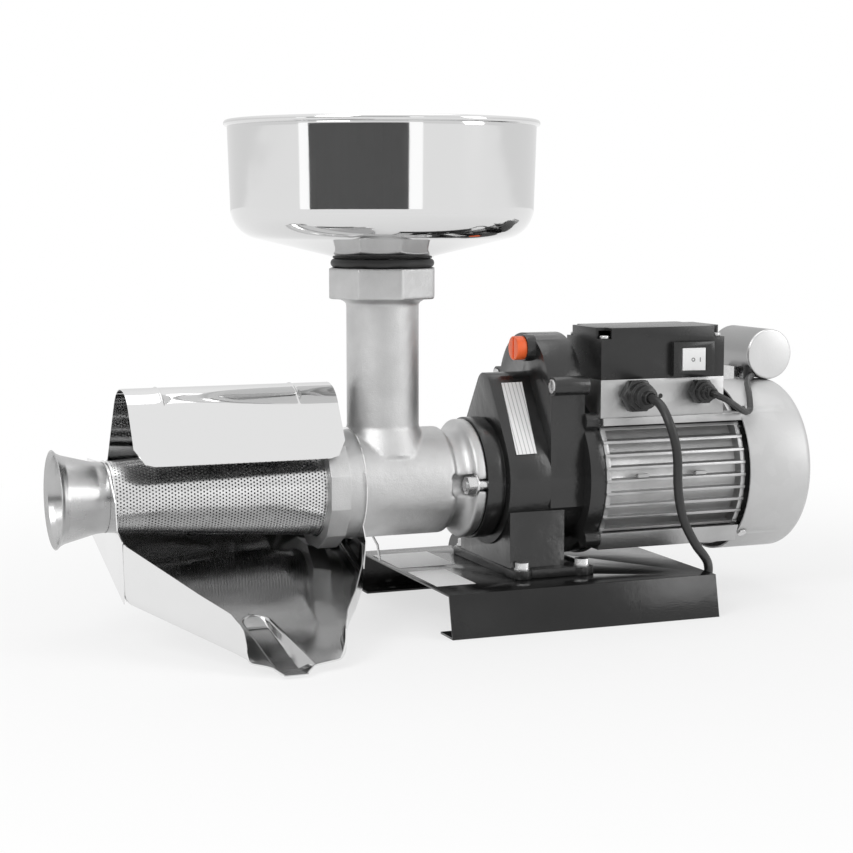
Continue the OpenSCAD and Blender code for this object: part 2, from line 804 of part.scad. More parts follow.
// Saddle clip between the cowl and the capacitor
module capacitor_clip() {
    color([0.6, 0.6, 0.62]) difference() {
        translate([cap_c.x - 24, cap_c.y + 16, az + cowl_r - 4]) cube([14, 20, 14]);
        translate([cap_c.x, cap_c.y - 10, cap_c.z]) rotate([-90, 0, 0]) cylinder(h = 100, r = cap_r + snug);
        bar(cowl_x0, cowl_x1 + 10, cowl_r + snug);
    }
}

boot_at = [cap_c.x - 16, cap_c.y + 6, az + cowl_r + 0.6];

module capacitor_boot() {
    color([0.08, 0.08, 0.09]) difference() {
        translate(boot_at) cylinder(h = 10, r = 4.4);
        translate([cap_c.x, cap_c.y - 10, cap_c.z]) rotate([-90, 0, 0]) cylinder(h = 100, r = cap_r + snug);
        translate(boot_at + [0, -6, 3]) rotate([-90, 0, 0]) cylinder(h = 6, r = lead_r + 0.05);
    }
}

// Lead from its gland, round over the cowl and up under the capacitor
lead_r = 2.6;
lead_route = [[gland_b.x, box_y - 5, gland_b.y], [gland_b.x, box_y - 22, gland_b.y],
    [118, -86, 169.5], [123, -88, 167], [131, -83, 163.5], [143.5, -75, 157.5], [153, -68, 154],
    [160, -62.5, 155], [164, -56, 159.5], [169, -46, 166], [175, -33, 172], [183, -21, 175.5],
    [190, -13.5, 176.8], boot_at + [0, -4.5, 3], boot_at + [0, -0.5, 3]];

module capacitor_lead() {
    color([0.08, 0.08, 0.09]) tube(smooth(lead_route, 2), lead_r, 8, [0.3, 0.25, 0.92]);
}

// Strainer

// A flat ring of n sides, as its nut and collar have
module sided(n, r) {
    polygon([for (i = [0 : n - 1]) r * [cos(360 * i / n), sin(360 * i / n)]]);
}

module strainer_body() {
    seat_x = nut_x + 1.7 + snug;
    neck = 38;
    profile = concat([[0, seat_x], [41.9, seat_x], [41.9, barrel_x], [barrel_r, barrel_x]],
        [for (p = arc([barrel_r - 3, flange_x - 17.5], 3, 0, 90, 4)) p],
        [[neck, flange_x - 13]], arc([flange_r, flange_x - 9], 8.2, 180, 102, 6),
        [[flange_r, flange_x], [flange_r, nose_x - snug], [0, nose_x - snug]]);
    color([0.7, 0.71, 0.72]) difference() {
        union() {
            turned(profile);
            translate([tube_x, 0, az]) cylinder(h = collar_h - 4, r = tube_r);
            translate([tube_x, 0, az + 24]) cylinder(h = 20, r1 = tube_r + 9, r2 = tube_r);
            translate([tube_x, 0, collar_z - collar_l]) linear_extrude(collar_l) sided(8, collar_r);
            translate([tube_x, 0, collar_z - collar_l - 3]) cylinder(h = 3.01, r1 = tube_r, r2 = tube_r + 6);
        }
        bar(nut_x - 1, drive_x - 3, bore_r);
        bar(drive_x - 4, nose_x + 1, 14);
        translate([tube_x, 0, az]) cylinder(h = collar_h + 1, r = tube_r - 3.7);
        translate([tube_x, 0, collar_z - 16]) cylinder(h = 17, r = spigot_r + snug);
        // Slots for the studs and pockets for their nuts
        stud_places() {
            translate([flange_x - 1, -stud_r - 0.6, -stud_r - 0.6])
                cube([flange_t + 2, 2 * stud_r + 1.2, 20]);
            bar(flange_x - 18, flange_x, 9, 0, 0);
            translate([flange_x - 18, -9, 0]) cube([18, 18, 20]);
        }
    }
}

// Auger: one flight on a core, wound down into the cone
module auger() {
    core = 12;
    flight = 24;
    x1 = drive_x - 4;
    x2 = cone_x1;
    x3 = cone_x0 + 3;
    r2 = cone_r1 - sheet - 1.4;
    r3 = cone_r2 - sheet - 1.2;
    turn1 = 360 * (x1 - x2) / auger_pitch;
    turn2 = 360 * (x2 - x3) / auger_pitch;
    color([0.75, 0.76, 0.77]) difference() {
        union() {
            bar(x2 - 1, x1, core);
            translate([x1, 0, az]) rotate([0, -90, 0])
                linear_extrude(x1 - x2, twist = turn1, slices = 60, segments = 6)
                    flight_outline(auger_r, flight);
            translate([x2, 0, az]) rotate([0, -90, 0]) {
                cylinder(h = x2 - x3, r1 = core, r2 = 9);
                linear_extrude(x2 - x3, twist = turn2, slices = 110, segments = 6, scale = r3 / r2)
                    rotate(-turn1) flight_outline(r2, flight);
            }
            bar(cone_x0 - 12, x3 + 1, 9);
        }
        translate([drive_x - 21, -7 - snug, az - 7 - snug]) cube([30, 14 + 2 * snug, 14 + 2 * snug]);
        bar(drive_x - 2 - snug, drive_x + 5, shaft_r + snug);
    }
}

module flight_outline(r, width) {
    polygon(concat([[8, 0]], [for (i = [0 : 3]) let (a = width * i / 3) r * [cos(a), sin(a)]],
        [8 * [cos(width), sin(width)]]));
}

// Cone of the strainer: a rim in the ring nut and a sleeve for the waste outlet
module filter_cone() {
    sleeve = 24.3;
    color([0.8, 0.81, 0.82]) turned([[41.2, cone_x1], [41.2, cone_x1 - 1], [cone_r1 + 0.4, cone_x1 - 1],
        [cone_r1, cone_x1 - 3], [cone_r2, cone_x0], [sleeve, cone_x0], [sleeve, cone_x0 - 14],
        [sleeve - 1.2, cone_x0 - 14], [sleeve - 1.2, cone_x0 + sheet],
        [cone_r2 - sheet, cone_x0 + sheet], [cone_r1 - sheet, cone_x1 - 3], [cone_r1 - sheet, cone_x1]]);
}

module ring_nut() {
    lip = 1.6;
    color([0.72, 0.73, 0.74]) difference() {
        along(nut_x, barrel_x - 0.2) translate([0, az]) rotate(15) sided(12, nut_flat / cos(15));
        bar(nut_x + lip - 1 - snug, barrel_x + 1, 41.9 + snug);
        bar(nut_x - 1, nut_x + 3, cone_r1 + 1.6);
    }
}

module waste_outlet() {
    t = 1.2;
    root = 24.3 + snug;
    color([0.78, 0.79, 0.8]) turned([
        [root, funnel_x1], [root + t, funnel_x1], [root + t + 0.8, funnel_x1 - 8],
        [funnel_r - 4.3, funnel_x0 + 6], [funnel_r - 2.5, funnel_x0 + 2.4], [funnel_r, funnel_x0],
        [funnel_r - 1.2, funnel_x0 - 0.4], [funnel_r - 4, funnel_x0 + 2.4],
        [funnel_r - 4.3 - t, funnel_x0 + 6], [root, funnel_x1 - 8]]);
}

// Drip tray

// Outline of the tray seen from above, as [y, x] along its left and right edges
tray_l = [[-172, -261], [-159.5, -267], [-153.5, -279.6], [-138, -289.5], [-62, plate_x], [60, plate_x]];
tray_r = [[-172, -245], [-161, -236], [-158, -217], [-151, -210.5], [-136, -205], [-121, -198.5],
    [-95, -183], [-63, -167], [-35, barrel_x + 13], [60, barrel_x + 13]];
// Height of the free edges over the floor, as [y, z] along each side
tray_lt = [[-172, 4], [-158, 7], [-154, 9], [-151, 28], [-130, 41], [-62, 79]];
tray_rt = [[-172, 4], [-158, 7], [-154, 12], [-146, 25], [-29, 64]];
// Where the sections lie, and how far the right side hangs lower at the rear
tray_y = [50, 22, -8, -35, -50, -62, -80, -94, -102, -121, -136, -146, -151, -154, -158, -161, -172];
tray_dip = [[-110, 0], [-50, 7]];
channel = [[-172, -253], [-94, -259.5]];
channel_drop = [[-110, 5], [-94, 0.3]];

function tray_floor(y) = max(az - 67 + 0.3155 * (y + 62), 2.6);

// Cross section of the tray at one station: outside going right, inside coming back
function tray_section(y) =
    let (s = sheet, l = lookup(y, tray_l), r = lookup(y, tray_r), f = tray_floor(y),
        dip = lookup(y, tray_dip),
        c = lookup(y, channel), half = min(9, (r - l) / 2 - 2),
        b = max(f - lookup(y, channel_drop), 1.6),
        fc = f - dip * (c - l) / (r - l), bc = b - dip * (c - l) / (r - l),
        tl = y > -60 ? f + 12 : max(lookup(y, tray_lt), f + 1.5),
        tr = y > -30 ? f + 2 : max(lookup(y, tray_rt), f + 1.5))
    [[l, tl], [l, f], [c - half, fc], [c - half + 2.5, bc], [c + half - 2.5, bc], [c + half, fc],
        [r, f - dip], [r, tr], [r - s, tr], [r - s, f - dip + s], [c + half - 0.3, fc + s],
        [c + half - 2.8, bc + s], [c - half + 2.8, bc + s], [c - half + 0.3, fc + s],
        [l + s, f + s], [l + s, tl]];

// Joins flat sections of equal count, one behind the other along Y
module loft(stations) {
    n = 16;
    last = len(stations) - 1;
    points = [for (y = stations) each [for (p = tray_section(y)) [p.x, y, p.y]]];
    sides = [for (i = [0 : last - 1]) for (k = [0 : n - 1])
        let (a = i * n + k, b = i * n + (k + 1) % n) each [[a, a + n, b], [b, a + n, b + n]]];
    caps = [for (k = [0 : n / 2 - 2]) each [[k, k + 1, n - 2 - k], [k, n - 2 - k, n - 1 - k]]];
    far = [for (c = caps) [for (k = [2 : -1 : 0]) last * n + c[k]]];
    polyhedron(points, concat(sides, caps, far), convexity = 8);
}

// The pressed pan
module drip_tray() {
    color([0.82, 0.83, 0.84]) loft(tray_y);
}

// Rear wall and two end plates of the tray, with the ears that turn on the wire
module tray_ends() {
    back = tray_y[0] + snug;
    x0 = plate_x - snug;
    x1 = barrel_x + 13 + snug;
    ear = [[wire_y + 4, 22], [wire_y + 4, 12], [back + sheet, 2]];
    left = concat(ear, [[back + sheet, -32], [-62, -67.5], [-59, -23.5], [-43, -18], [-39, 1.5],
        [-22, 18], [0, 27.5], [14, 24.5]]);
    right = concat(ear, [[back + sheet, -38], [-35, -60], [-40, -38], [-30, -20], [0, 0], [30, 30]]);
    color([0.82, 0.83, 0.84]) difference() {
        union() {
            along(x0 - sheet, x0) translate([0, az]) polygon(left);
            along(x1, x1 + sheet) translate([0, az]) {
                polygon(right);
                circle(barrel_r + 2.2);
            }
            translate([x0 - sheet / 2, back, az - 33]) cube([x1 - x0 + sheet, sheet, 48]);
        }
        bar(x0 - 2, x0 + 3, 26);
        bar(x1 - 10, x1 + 10, barrel_r + 0.1);
        bar(x0 - 2, x1 + 20, wire_r + run_gap, wire_y, hinge_z);
        translate([tube_x, 0, az + 24]) cylinder(h = 20, r1 = tube_r + 9.2, r2 = tube_r + 0.2);
    }
}

// Splash guard: an arched sheet rolled round the hinge wire

module guard_outline() {
    mid = [0, crown_h - crown_r];
    a = leg_angle;
    front = 44.6 * [-sin(a), -cos(a)];
    rear = (wire_y * sin(a) + (mid.y - wire_z) * cos(a)) * [sin(a), -cos(a)];
    outer = arc(mid, crown_r, 180 - a, a, 20);
    inner = arc(mid, crown_r - sheet, a, 180 - a, 20);
    translate([0, az]) difference() {
        union() {
            polygon(concat([outer[0] + front], outer, [outer[20] + rear, inner[0] + rear], inner,
                [inner[20] + front]));
            translate([wire_y, wire_z]) circle(wire_r + run_gap + sheet);
        }
        translate([wire_y, wire_z]) circle(wire_r + run_gap);
    }
}

module splash_guard() {
    cut = 14;
    low = az + crown_h - 60;
    color([0.86, 0.87, 0.88]) difference() {
        union() {
            along(guard_x0, guard_x1) guard_outline();
            for (x = [guard_x0 + 26, guard_x1 - 30]) along(x - 1, x + 1)
                translate([0, az + crown_h - crown_r]) intersection() {
                    difference() {
                        circle(crown_r + 0.7);
                        circle(crown_r - sheet / 2);
                    }
                    polygon([[0, 0], [-60, 60], [60, 60]]);
                }
        }
        // Round corners at the front edge
        for (side = [0, 1]) translate([side == 0 ? guard_x0 : guard_x1, -80, az + crown_h - 53.5])
            mirror([side, 0, 0]) difference() {
                translate([-1, 0, -20]) cube([cut + 1, 60, 20 + cut]);
                translate([cut, -1, cut]) rotate([-90, 0, 0]) cylinder(h = 62, r = cut);
            }
    }
}

// The wire that hinges the guard, bent down to the base at one end
module hinge_wire() {
    x = barrel_x + 50;
    p = [[plate_x - 9, wire_y, hinge_z], [x, wire_y, hinge_z], [x + 1.5, wire_y, hinge_z - 30],
        [x + 1.5, wire_y, base_h + 22], [x + 6.5, wire_y, base_h + 13], [x + 8.7, wire_y, base_h + 0.3]];
    color([0.6, 0.6, 0.62]) for (i = [0 : len(p) - 2]) rod(p[i], p[i + 1], wire_r, i < len(p) - 2);
}

// Hopper, the stub tube under it and the rubber ring that it sits on

module seal_ring() {
    color([0.08, 0.08, 0.08]) translate([tube_x, 0, collar_z + seal_t / 2 + 0.05]) rotate_extrude()
        translate([seal_r - seal_t / 2, 0]) circle(seal_t / 2);
}

module hopper_spigot() {
    color([0.74, 0.75, 0.76]) translate([tube_x, 0, collar_z - 15]) difference() {
        cylinder(h = floor_z - collar_z + 15 - snug, r = spigot_r - loose);
        translate([0, 0, -1]) cylinder(h = 60, r = spigot_r - 2.5);
    }
}

module hopper() {
    t = 1;
    w = hopper_wall_r;
    corner = 24;
    slope = atan((hopper_rise - 1.9) / (w - corner - seal_r));
    knee = [w - corner, hopper_rise + corner / cos(slope)];
    outer = concat([[spigot_r - 2, 0], [seal_r - 2, 0.2], [seal_r, 1.9]], arc(knee, corner, slope - 90, 0, 8),
        [[w + 1.8, hopper_h - 6], [hopper_r - 3, hopper_h - 2.6]]);
    inner = concat([[hopper_r - 3 - t, hopper_h - 2], [w + 1.8 - t, hopper_h - 5.5]],
        arc(knee, corner - t, 0, slope - 90, 8), [[seal_r, 1.9 + t * 1.05], [spigot_r - 2, t * 1.05]]);
    color([0.84, 0.85, 0.86]) translate([tube_x, 0, floor_z]) {
        rotate_extrude($fn = 128) polygon(concat(outer, inner));
        translate([0, 0, hopper_h - 2.4]) rotate_extrude($fn = 128)
            translate([hopper_r - 2.4, 0]) circle(2.4, $fn = 24);
    }
}

// Mains cord

cord_r = 3.5;
coil_c = [105, 163];
coil_r = 39.3;
coil_step = 7.3;
cord_route = [[60.5, -70, 169.5], [60.5, -84, 169.5], [60.6, -98.5, 165.6], [61.6, -109.1, 155],
    [65, -113, 140.5], [69, -110.5, 125], [73, -105, 101], [80, -101, 78], [92, -98, 58], [104, -92, 46],
    [112, -84, 38], [115.8, -78, 29], [117, -70, 17], [118, -56, 7], [119, -38, 3.6], [121, 0, 3.6],
    [128, 45, 3.6], [139, 95, 3.6], [149, 135, 3.6], [151.6, 163, 3.6]];
tail_route = [[58.4, 163, 10.9], [58.4, 154, 11.2], [54.5, 139.5, 13.5], [43.9, 128.9, 16.5],
    [29.4, 125, 19], [22, 125, 19]];

module mains_cord() {
    color([0.07, 0.07, 0.08]) tube(smooth(cord_route, 2), cord_r);
}

module cord_coil() {
    inner = coil_r - coil_step - cord_r;
    outer = coil_r + coil_step + cord_r;
    color([0.07, 0.07, 0.08]) translate([coil_c.x, coil_c.y, 0.1]) rotate_extrude()
        polygon([[inner, 2], [inner + 2, 0], [outer - 2, 0], [outer, 2], [outer, 12.4],
            [outer - 2, 14.4], [inner + 2, 14.4], [inner, 12.4]]);
}

module cord_tail() {
    color([0.07, 0.07, 0.08]) tube(smooth(tail_route, 2), cord_r, 10, [0.5, 0.5, 0.7]);
}

// Earthed two-pin plug lying on its side
module mains_plug() {
    z = 19;
    y = 125;
    color([0.08, 0.08, 0.09]) difference() {
        union() {
            bar(-14, 4, 18.4, y, z);
            bar(4 - eps, 18, 13, y, z);
            bar(18 - eps, 30, 6.5, y, z);
        }
        for (side = [-1, 1]) translate([-16, y + side * 20.4 - 3, z - 3.5]) cube([18, 6, 7]);
        bar(20, 31, cord_r + 0.1, y, z);
    }
    color([0.8, 0.8, 0.82]) for (side = [-1, 1]) bar(-33, -14 + eps, 2.4, y + 9.5 * side, z);
}

// Each part by its name

base_plate();
base_sheets();
foot_casting();
foot_bolts();
front_cover();
gear_case();
middle_plate();
output_shaft();
output_gear();
cross_shaft();
cross_wheel();
cross_pinion();
cross_bushes();
output_bearings();
shaft_seal();
oil_plug();
case_screws();
flange_studs();
flange_nuts();
end_bell();
motor_housing();
stator();
windings();
rotor();
motor_shaft();
motor_bearings();
rear_shield();
cooling_fan();
fan_cowl();
cowl_screws();
terminal_box();
terminal_lid();
lid_screws();
switch_bezel();
switch_rocker();
mains_gland();
capacitor_gland();
capacitor();
capacitor_clip();
capacitor_boot();
capacitor_lead();
strainer_body();
auger();
filter_cone();
ring_nut();
waste_outlet();
drip_tray();
tray_ends();
splash_guard();
hinge_wire();
seal_ring();
hopper_spigot();
hopper();
mains_cord();
cord_coil();
cord_tail();
mains_plug();
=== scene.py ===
import math

import bmesh
import bpy
from mathutils import Matrix, Vector


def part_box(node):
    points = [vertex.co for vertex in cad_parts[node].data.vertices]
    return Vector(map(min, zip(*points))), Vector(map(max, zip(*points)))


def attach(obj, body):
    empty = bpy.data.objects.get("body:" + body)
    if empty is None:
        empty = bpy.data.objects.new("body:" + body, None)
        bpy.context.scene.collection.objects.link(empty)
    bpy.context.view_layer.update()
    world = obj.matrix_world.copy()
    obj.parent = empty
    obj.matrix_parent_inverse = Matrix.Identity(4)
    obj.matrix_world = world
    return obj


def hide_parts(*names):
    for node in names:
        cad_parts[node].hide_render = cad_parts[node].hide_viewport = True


# Electric tomato strainer. X runs along the shaft to the motor, Y to the rear and Z up.
# Sizes are in metres, and those written with mm in millimetres.
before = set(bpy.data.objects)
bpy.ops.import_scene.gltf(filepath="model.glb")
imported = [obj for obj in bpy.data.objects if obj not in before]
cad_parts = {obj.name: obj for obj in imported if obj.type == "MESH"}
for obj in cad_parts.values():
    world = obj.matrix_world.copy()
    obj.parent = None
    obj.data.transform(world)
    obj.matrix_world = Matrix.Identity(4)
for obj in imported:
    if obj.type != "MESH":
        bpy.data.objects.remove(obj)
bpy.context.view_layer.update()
mm = 0.001

# Camera
# It stands to the left front of the machine, a little above the table, and looks slightly down.
eye = Vector((-0.63786, -1.38095, 0.315))
heading = math.radians(21.605)
dip = math.radians(-6.511)
lens_mm = 81.32
film_mm = 36
gaze = Vector((math.sin(heading) * math.cos(dip), math.cos(heading) * math.cos(dip), math.sin(dip)))
camera = bpy.data.objects.new("camera", bpy.data.cameras.new("camera"))
camera.data.lens = lens_mm
camera.data.sensor_width = film_mm
camera.location = eye
camera.rotation_euler = gaze.to_track_quat("-Z", "Y").to_euler()
bpy.context.collection.objects.link(camera)
bpy.context.scene.camera = camera


# Mains cord
# Round black flexible cord of three cores in a PVC sheath. It drops from its gland in front of the
# motor, runs under it, and is put away in a coil behind the base, with its plug beside the coil.
class Wire:
    """One output of a node. Arithmetic on wires adds Math nodes to their tree."""

    def __init__(self, tree, socket):
        self.tree = tree
        self.socket = socket

    def math(self, operation, first, second=None):
        inputs = {0: first} if second is None else {0: first, 1: second}
        return add_node(self.tree, "ShaderNodeMath", {"operation": operation}, inputs)

    def __add__(self, other):
        return self.math("ADD", self, other)

    def __radd__(self, other):
        return self.math("ADD", other, self)

    def __sub__(self, other):
        return self.math("SUBTRACT", self, other)

    def __rsub__(self, other):
        return self.math("SUBTRACT", other, self)

    def __mul__(self, other):
        return self.math("MULTIPLY", self, other)

    def __rmul__(self, other):
        return self.math("MULTIPLY", other, self)

    def __truediv__(self, other):
        return self.math("DIVIDE", self, other)

    def __gt__(self, other):
        return self.math("GREATER_THAN", self, other)

    def __lt__(self, other):
        return self.math("LESS_THAN", self, other)


def add_node(tree, kind, settings, inputs, out=0):
    """Adds a node, with its settings first and then its values and links, and gives one output."""
    made = tree.nodes.new(kind)
    for name, value in settings.items():
        if name == "stops":
            ramp = made.color_ramp
            ramp.elements.remove(ramp.elements[1])
            ramp.elements[0].position, ramp.elements[0].color = value[0][0], grey(value[0][1])
            for place, shade in value[1:]:
                ramp.elements.new(place).color = grey(shade)
        else:
            setattr(made, name, value)
    for name, value in inputs.items():
        socket = made.inputs[name]
        if isinstance(value, Wire):
            tree.links.new(value.socket, socket)
        elif socket.type == "RGBA":
            socket.default_value = grey(value)
        else:
            socket.default_value = value
    return Wire(tree, made.outputs[out])


def grey(value):
    """A colour with its alpha, from one level or three."""
    return (*value, 1) if isinstance(value, tuple) else (value, value, value, 1)


class Finish:
    """A material with its tree and shader. Its patterns read the object's own coordinates."""

    def __init__(self, name, colour, roughness, metallic=0.0, **plain):
        self.material = bpy.data.materials.new(name)
        self.material.use_nodes = True
        self.tree = self.material.node_tree
        self.shader = self.tree.nodes["Principled BSDF"]
        self.place = self.node("ShaderNodeTexCoord", {}, {}, "Object")
        self.hills = None
        self.set(Base_Color=colour, Roughness=roughness, Metallic=metallic, **plain)

    def node(self, kind, settings, inputs, out=0):
        return add_node(self.tree, kind, settings, inputs, out)

    def set(self, **values):
        for name, value in values.items():
            socket = self.shader.inputs[name.replace("_", " ")]
            if isinstance(value, Wire):
                self.tree.links.new(value.socket, socket)
            else:
                socket.default_value = grey(value) if socket.type == "RGBA" else value

    def stretched(self, x, y, z):
        return self.node("ShaderNodeMapping", {}, {"Vector": self.place, "Scale": (x, y, z)})

    def noise(self, scale, detail=2, place=None, rough=0.5):
        inputs = {"Vector": place or self.place, "Scale": scale, "Detail": detail, "Roughness": rough}
        return self.node("ShaderNodeTexNoise", {}, inputs)

    def band(self, wire, low, high):
        """0 where the wire is below low, 1 above high."""
        inputs = {"Value": wire, "From Min": low, "From Max": high}
        return self.node("ShaderNodeMapRange", {}, inputs)

    def mix(self, mask, first, second):
        inputs = {0: mask, 6: first, 7: second}
        return self.node("ShaderNodeMix", {"data_type": "RGBA"}, inputs, 2)

    def bump(self, height, distance, strength=1.0):
        inputs = {"Height": height, "Distance": distance, "Strength": strength}
        if self.hills is not None:
            inputs["Normal"] = self.hills
        self.hills = self.node("ShaderNodeBump", {}, inputs)
        self.set(Normal=self.hills)


def new_piece(name, mesh, body, finish, nodes=(), sharp=None):
    """Puts a finished mesh in the scene, on its body, with its material and the nodes it stands for."""
    piece = bpy.data.objects.new(name, mesh)
    bpy.context.collection.objects.link(piece)
    mesh.materials.clear()
    mesh.materials.append(finish.material)
    if sharp is not None:
        mesh.shade_smooth()
        mesh.set_sharp_from_angle(angle=math.radians(sharp))
    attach(piece, body)
    if nodes:
        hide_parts(*nodes)
    return piece


def smooth_path(points, steps):
    """A curve through the points, with so many steps to each stretch."""
    p = [Vector(q) for q in points]
    path = []
    for i in range(len(p) - 1):
        a, b, c, d = p[max(i - 1, 0)], p[i], p[i + 1], p[min(i + 2, len(p) - 1)]
        for j in range(steps):
            t = j / steps
            path.append(0.5 * (2 * b + (c - a) * t + (2 * a - 5 * b + 4 * c - d) * t * t
                               + (3 * b - a - 3 * c + d) * t * t * t))
    return path + [p[-1]]


def tube_mesh(name, path, radius, sides, closed_ends=True):
    """A round tube along a path."""
    path = [Vector(p) for p in path]
    count = len(path)
    ahead = [(path[min(i + 1, count - 1)] - path[max(i - 1, 0)]).normalized() for i in range(count)]
    side = ahead[0].orthogonal().normalized()
    radii = radius if isinstance(radius, list) else [radius] * count
    verts = []
    for point, forward, r in zip(path, ahead, radii):
        side = (side - forward * side.dot(forward)).normalized()
        up = forward.cross(side)
        for k in range(sides):
            a = 2 * math.pi * k / sides
            verts.append(point + r * (math.cos(a) * side + math.sin(a) * up))
    faces = [(i * sides + k, i * sides + (k + 1) % sides, (i + 1) * sides + (k + 1) % sides,
             (i + 1) * sides + k) for i in range(count - 1) for k in range(sides)]
    if closed_ends:
        faces.append(tuple(range(sides))[::-1])
        faces.append(tuple(range((count - 1) * sides, count * sides)))
    mesh = bpy.data.meshes.new(name)
    mesh.from_pydata(verts, [], faces)
    mesh.shade_smooth()
    return mesh


cord_radius = 3.5 * mm
cord_route = [
    (60.5, -70, 169.5), (60.5, -84, 169.5), (60.6, -98.5, 165.6), (61.6, -109.1, 155), (65, -113, 140.5),
    (69, -110.5, 125), (73, -105, 101), (80, -101, 78), (92, -98, 58), (104, -92, 46), (112, -84, 38),
    (115.8, -78, 29), (117, -70, 17), (118, -56, 7), (119, -38, 3.6), (121, 0, 3.6), (128, 45, 3.6),
    (139, 95, 3.6), (149, 135, 3.6), (151.6, 163, 3.6)]
tail_route = [(58.4, 163, 10.9), (58.4, 154, 11.2), (54.5, 139.5, 13.5), (43.9, 128.9, 16.5),
              (29.4, 125, 19), (22, 125, 19)]
coil_centre = (105, 163)
coil_radii = (46.6, 39.3, 32)
coil_levels = (3.6, 10.9)
coil_steps = 36


def ease(t):
    t = min(max(t, 0), 1)
    return t * t * (3 - 2 * t)


def coil_point(turns):
    """Three turns inwards on the floor, then one and a half outwards on top of them."""
    whole, part = int(turns), turns % 1 * 360
    outer, middle, inner = coil_radii
    step = outer - middle
    if turns < 3:
        radius = outer - step * min(whole + ease((part - 250) / 105), 2)
        level = ease((part - 140) / 100) if whole == 2 else 0
    else:
        radius = inner + step * min(whole - 3 + ease((part - 60) / 105), 2)
        level = 1
    a = 2 * math.pi * turns
    height = coil_levels[0] + (coil_levels[1] - coil_levels[0]) * level
    return coil_centre[0] + radius * math.cos(a), coil_centre[1] + radius * math.sin(a), height


coil_turns = 4.5
coil = [coil_point(i / coil_steps) for i in range(1, int(coil_turns * coil_steps))]
cord_path = [p * mm for p in smooth_path(cord_route, 4) + [Vector(p) for p in coil]
             + smooth_path(tail_route, 4)]
cord_length = sum((b - a).length for a, b in zip(cord_path, cord_path[1:]))

rubber = Finish("cord_sheath", 0.021, 0.42)
rubber.bump(rubber.noise(700, 3), 0.00012)
rubber.set(Roughness=0.36 + 0.16 * rubber.noise(60, 3))
rubber.set(Base_Color=rubber.mix(rubber.noise(35, 4), 0.014, 0.03))
cord = new_piece("mains_cord_whole", tube_mesh("mains_cord_whole", cord_path, cord_radius, 16),
                 "machine", rubber, ["mains_cord", "cord_coil", "cord_tail"])


# Base plate
# One sheet of steel, folded along both sides and powder coated black, with two blank data sheets.
def rounded_copy(node, width, angle=32, segments=2, merge=0.00002):
    """A CAD node's mesh with its doubles merged, its flat faces joined and its edges rounded."""
    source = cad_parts[node]
    mesh = bpy.data.meshes.new(node + "_rounded")
    shape = bmesh.new()
    shape.from_mesh(source.data)
    bmesh.ops.remove_doubles(shape, verts=shape.verts, dist=merge)
    bmesh.ops.dissolve_limit(shape, angle_limit=math.radians(0.5), verts=shape.verts, edges=shape.edges)
    shape.to_mesh(mesh)
    shape.free()
    holder = bpy.data.objects.new(node + "_rounded", mesh)
    bpy.context.collection.objects.link(holder)
    bevel = holder.modifiers.new("edges", "BEVEL")
    bevel.width = width
    bevel.segments = segments
    bevel.limit_method = "ANGLE"
    bevel.angle_limit = math.radians(angle)
    bevel.use_clamp_overlap = True
    return made_plain(holder, node + "_rounded")


def made_plain(holder, name):
    """The evaluated shape of an object as a plain mesh. The object itself is removed."""
    seen = holder.evaluated_get(bpy.context.evaluated_depsgraph_get())
    mesh = bpy.data.meshes.new_from_object(seen)
    mesh.name = name
    bpy.data.objects.remove(holder, do_unlink=True)
    return mesh


enamel = Finish("black_enamel", 0.012, 0.3, Specular_IOR_Level=0.4)
enamel.bump(enamel.noise(1100, 3), 0.00009)
enamel.bump(enamel.noise(70, 3), 0.0006, 0.35)
enamel.set(Roughness=0.1 + 0.1 * enamel.noise(45, 4))
enamel.set(Base_Color=enamel.mix(enamel.noise(25, 5), 0.006, 0.014))
new_piece("base_plate_folded", rounded_copy("base_plate", 0.8 * mm), "machine", enamel,
          ["base_plate"], 40)

paper = Finish("label_paper", 0.86, 0.5)
lines = paper.node("ShaderNodeTexWave", {"wave_type": "BANDS", "bands_direction": "Y"},
                   {"Vector": paper.place, "Scale": 105.0, "Distortion": 0.0})
paper.set(Base_Color=paper.mix(paper.band(lines, 0.86, 0.98), 0.86, 0.55))
paper.bump(paper.noise(500, 3), 0.00004)


def paint(finish, *nodes):
    """Gives CAD nodes whose shape stays a finish in their own slots."""
    for node in nodes:
        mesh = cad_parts[node].data
        mesh.materials.clear()
        mesh.materials.append(finish.material)


paint(paper, "base_sheets")

# Gearbox foot
# Cast iron saddle under the gearbox, painted black and held by four bolts with washers.
casting = Finish("black_casting", 0.012, 0.2, Specular_IOR_Level=0.62)
casting.bump(casting.noise(420, 5, rough=0.6), 0.00016)
casting.bump(casting.noise(40, 3), 0.0016, 0.5)
casting.set(Roughness=0.13 + 0.14 * casting.noise(60, 4))
casting.set(Base_Color=casting.mix(casting.noise(30, 5), 0.012, 0.022))
new_piece("foot_saddle", rounded_copy("foot_casting", 1.6 * mm, segments=3), "machine",
          casting, ["foot_casting"], 40)

# Zinc plated bolts, nuts and screws of the whole machine
# Turned or pressed steel with a thin bright zinc coat, which keeps faint tool marks.
zinc = Finish("zinc_plate", 0.72, 0.22, 1.0)
zinc.set(Roughness=0.18 + 0.2 * zinc.noise(300, 3))
zinc.set(Base_Color=zinc.mix(zinc.noise(120, 4), 0.5, 0.8))
zinc.bump(zinc.noise(900, 2), 0.00006)
for node, width in (("foot_bolts", 0.5), ("case_screws", 0.4), ("flange_nuts", 0.5), ("lid_screws", 0.5),
                    ("cowl_screws", 0.4)):
    new_piece(node + "_zinc", rounded_copy(node, width * mm), "machine", zinc, [node], 35)
paint(zinc, "flange_studs")

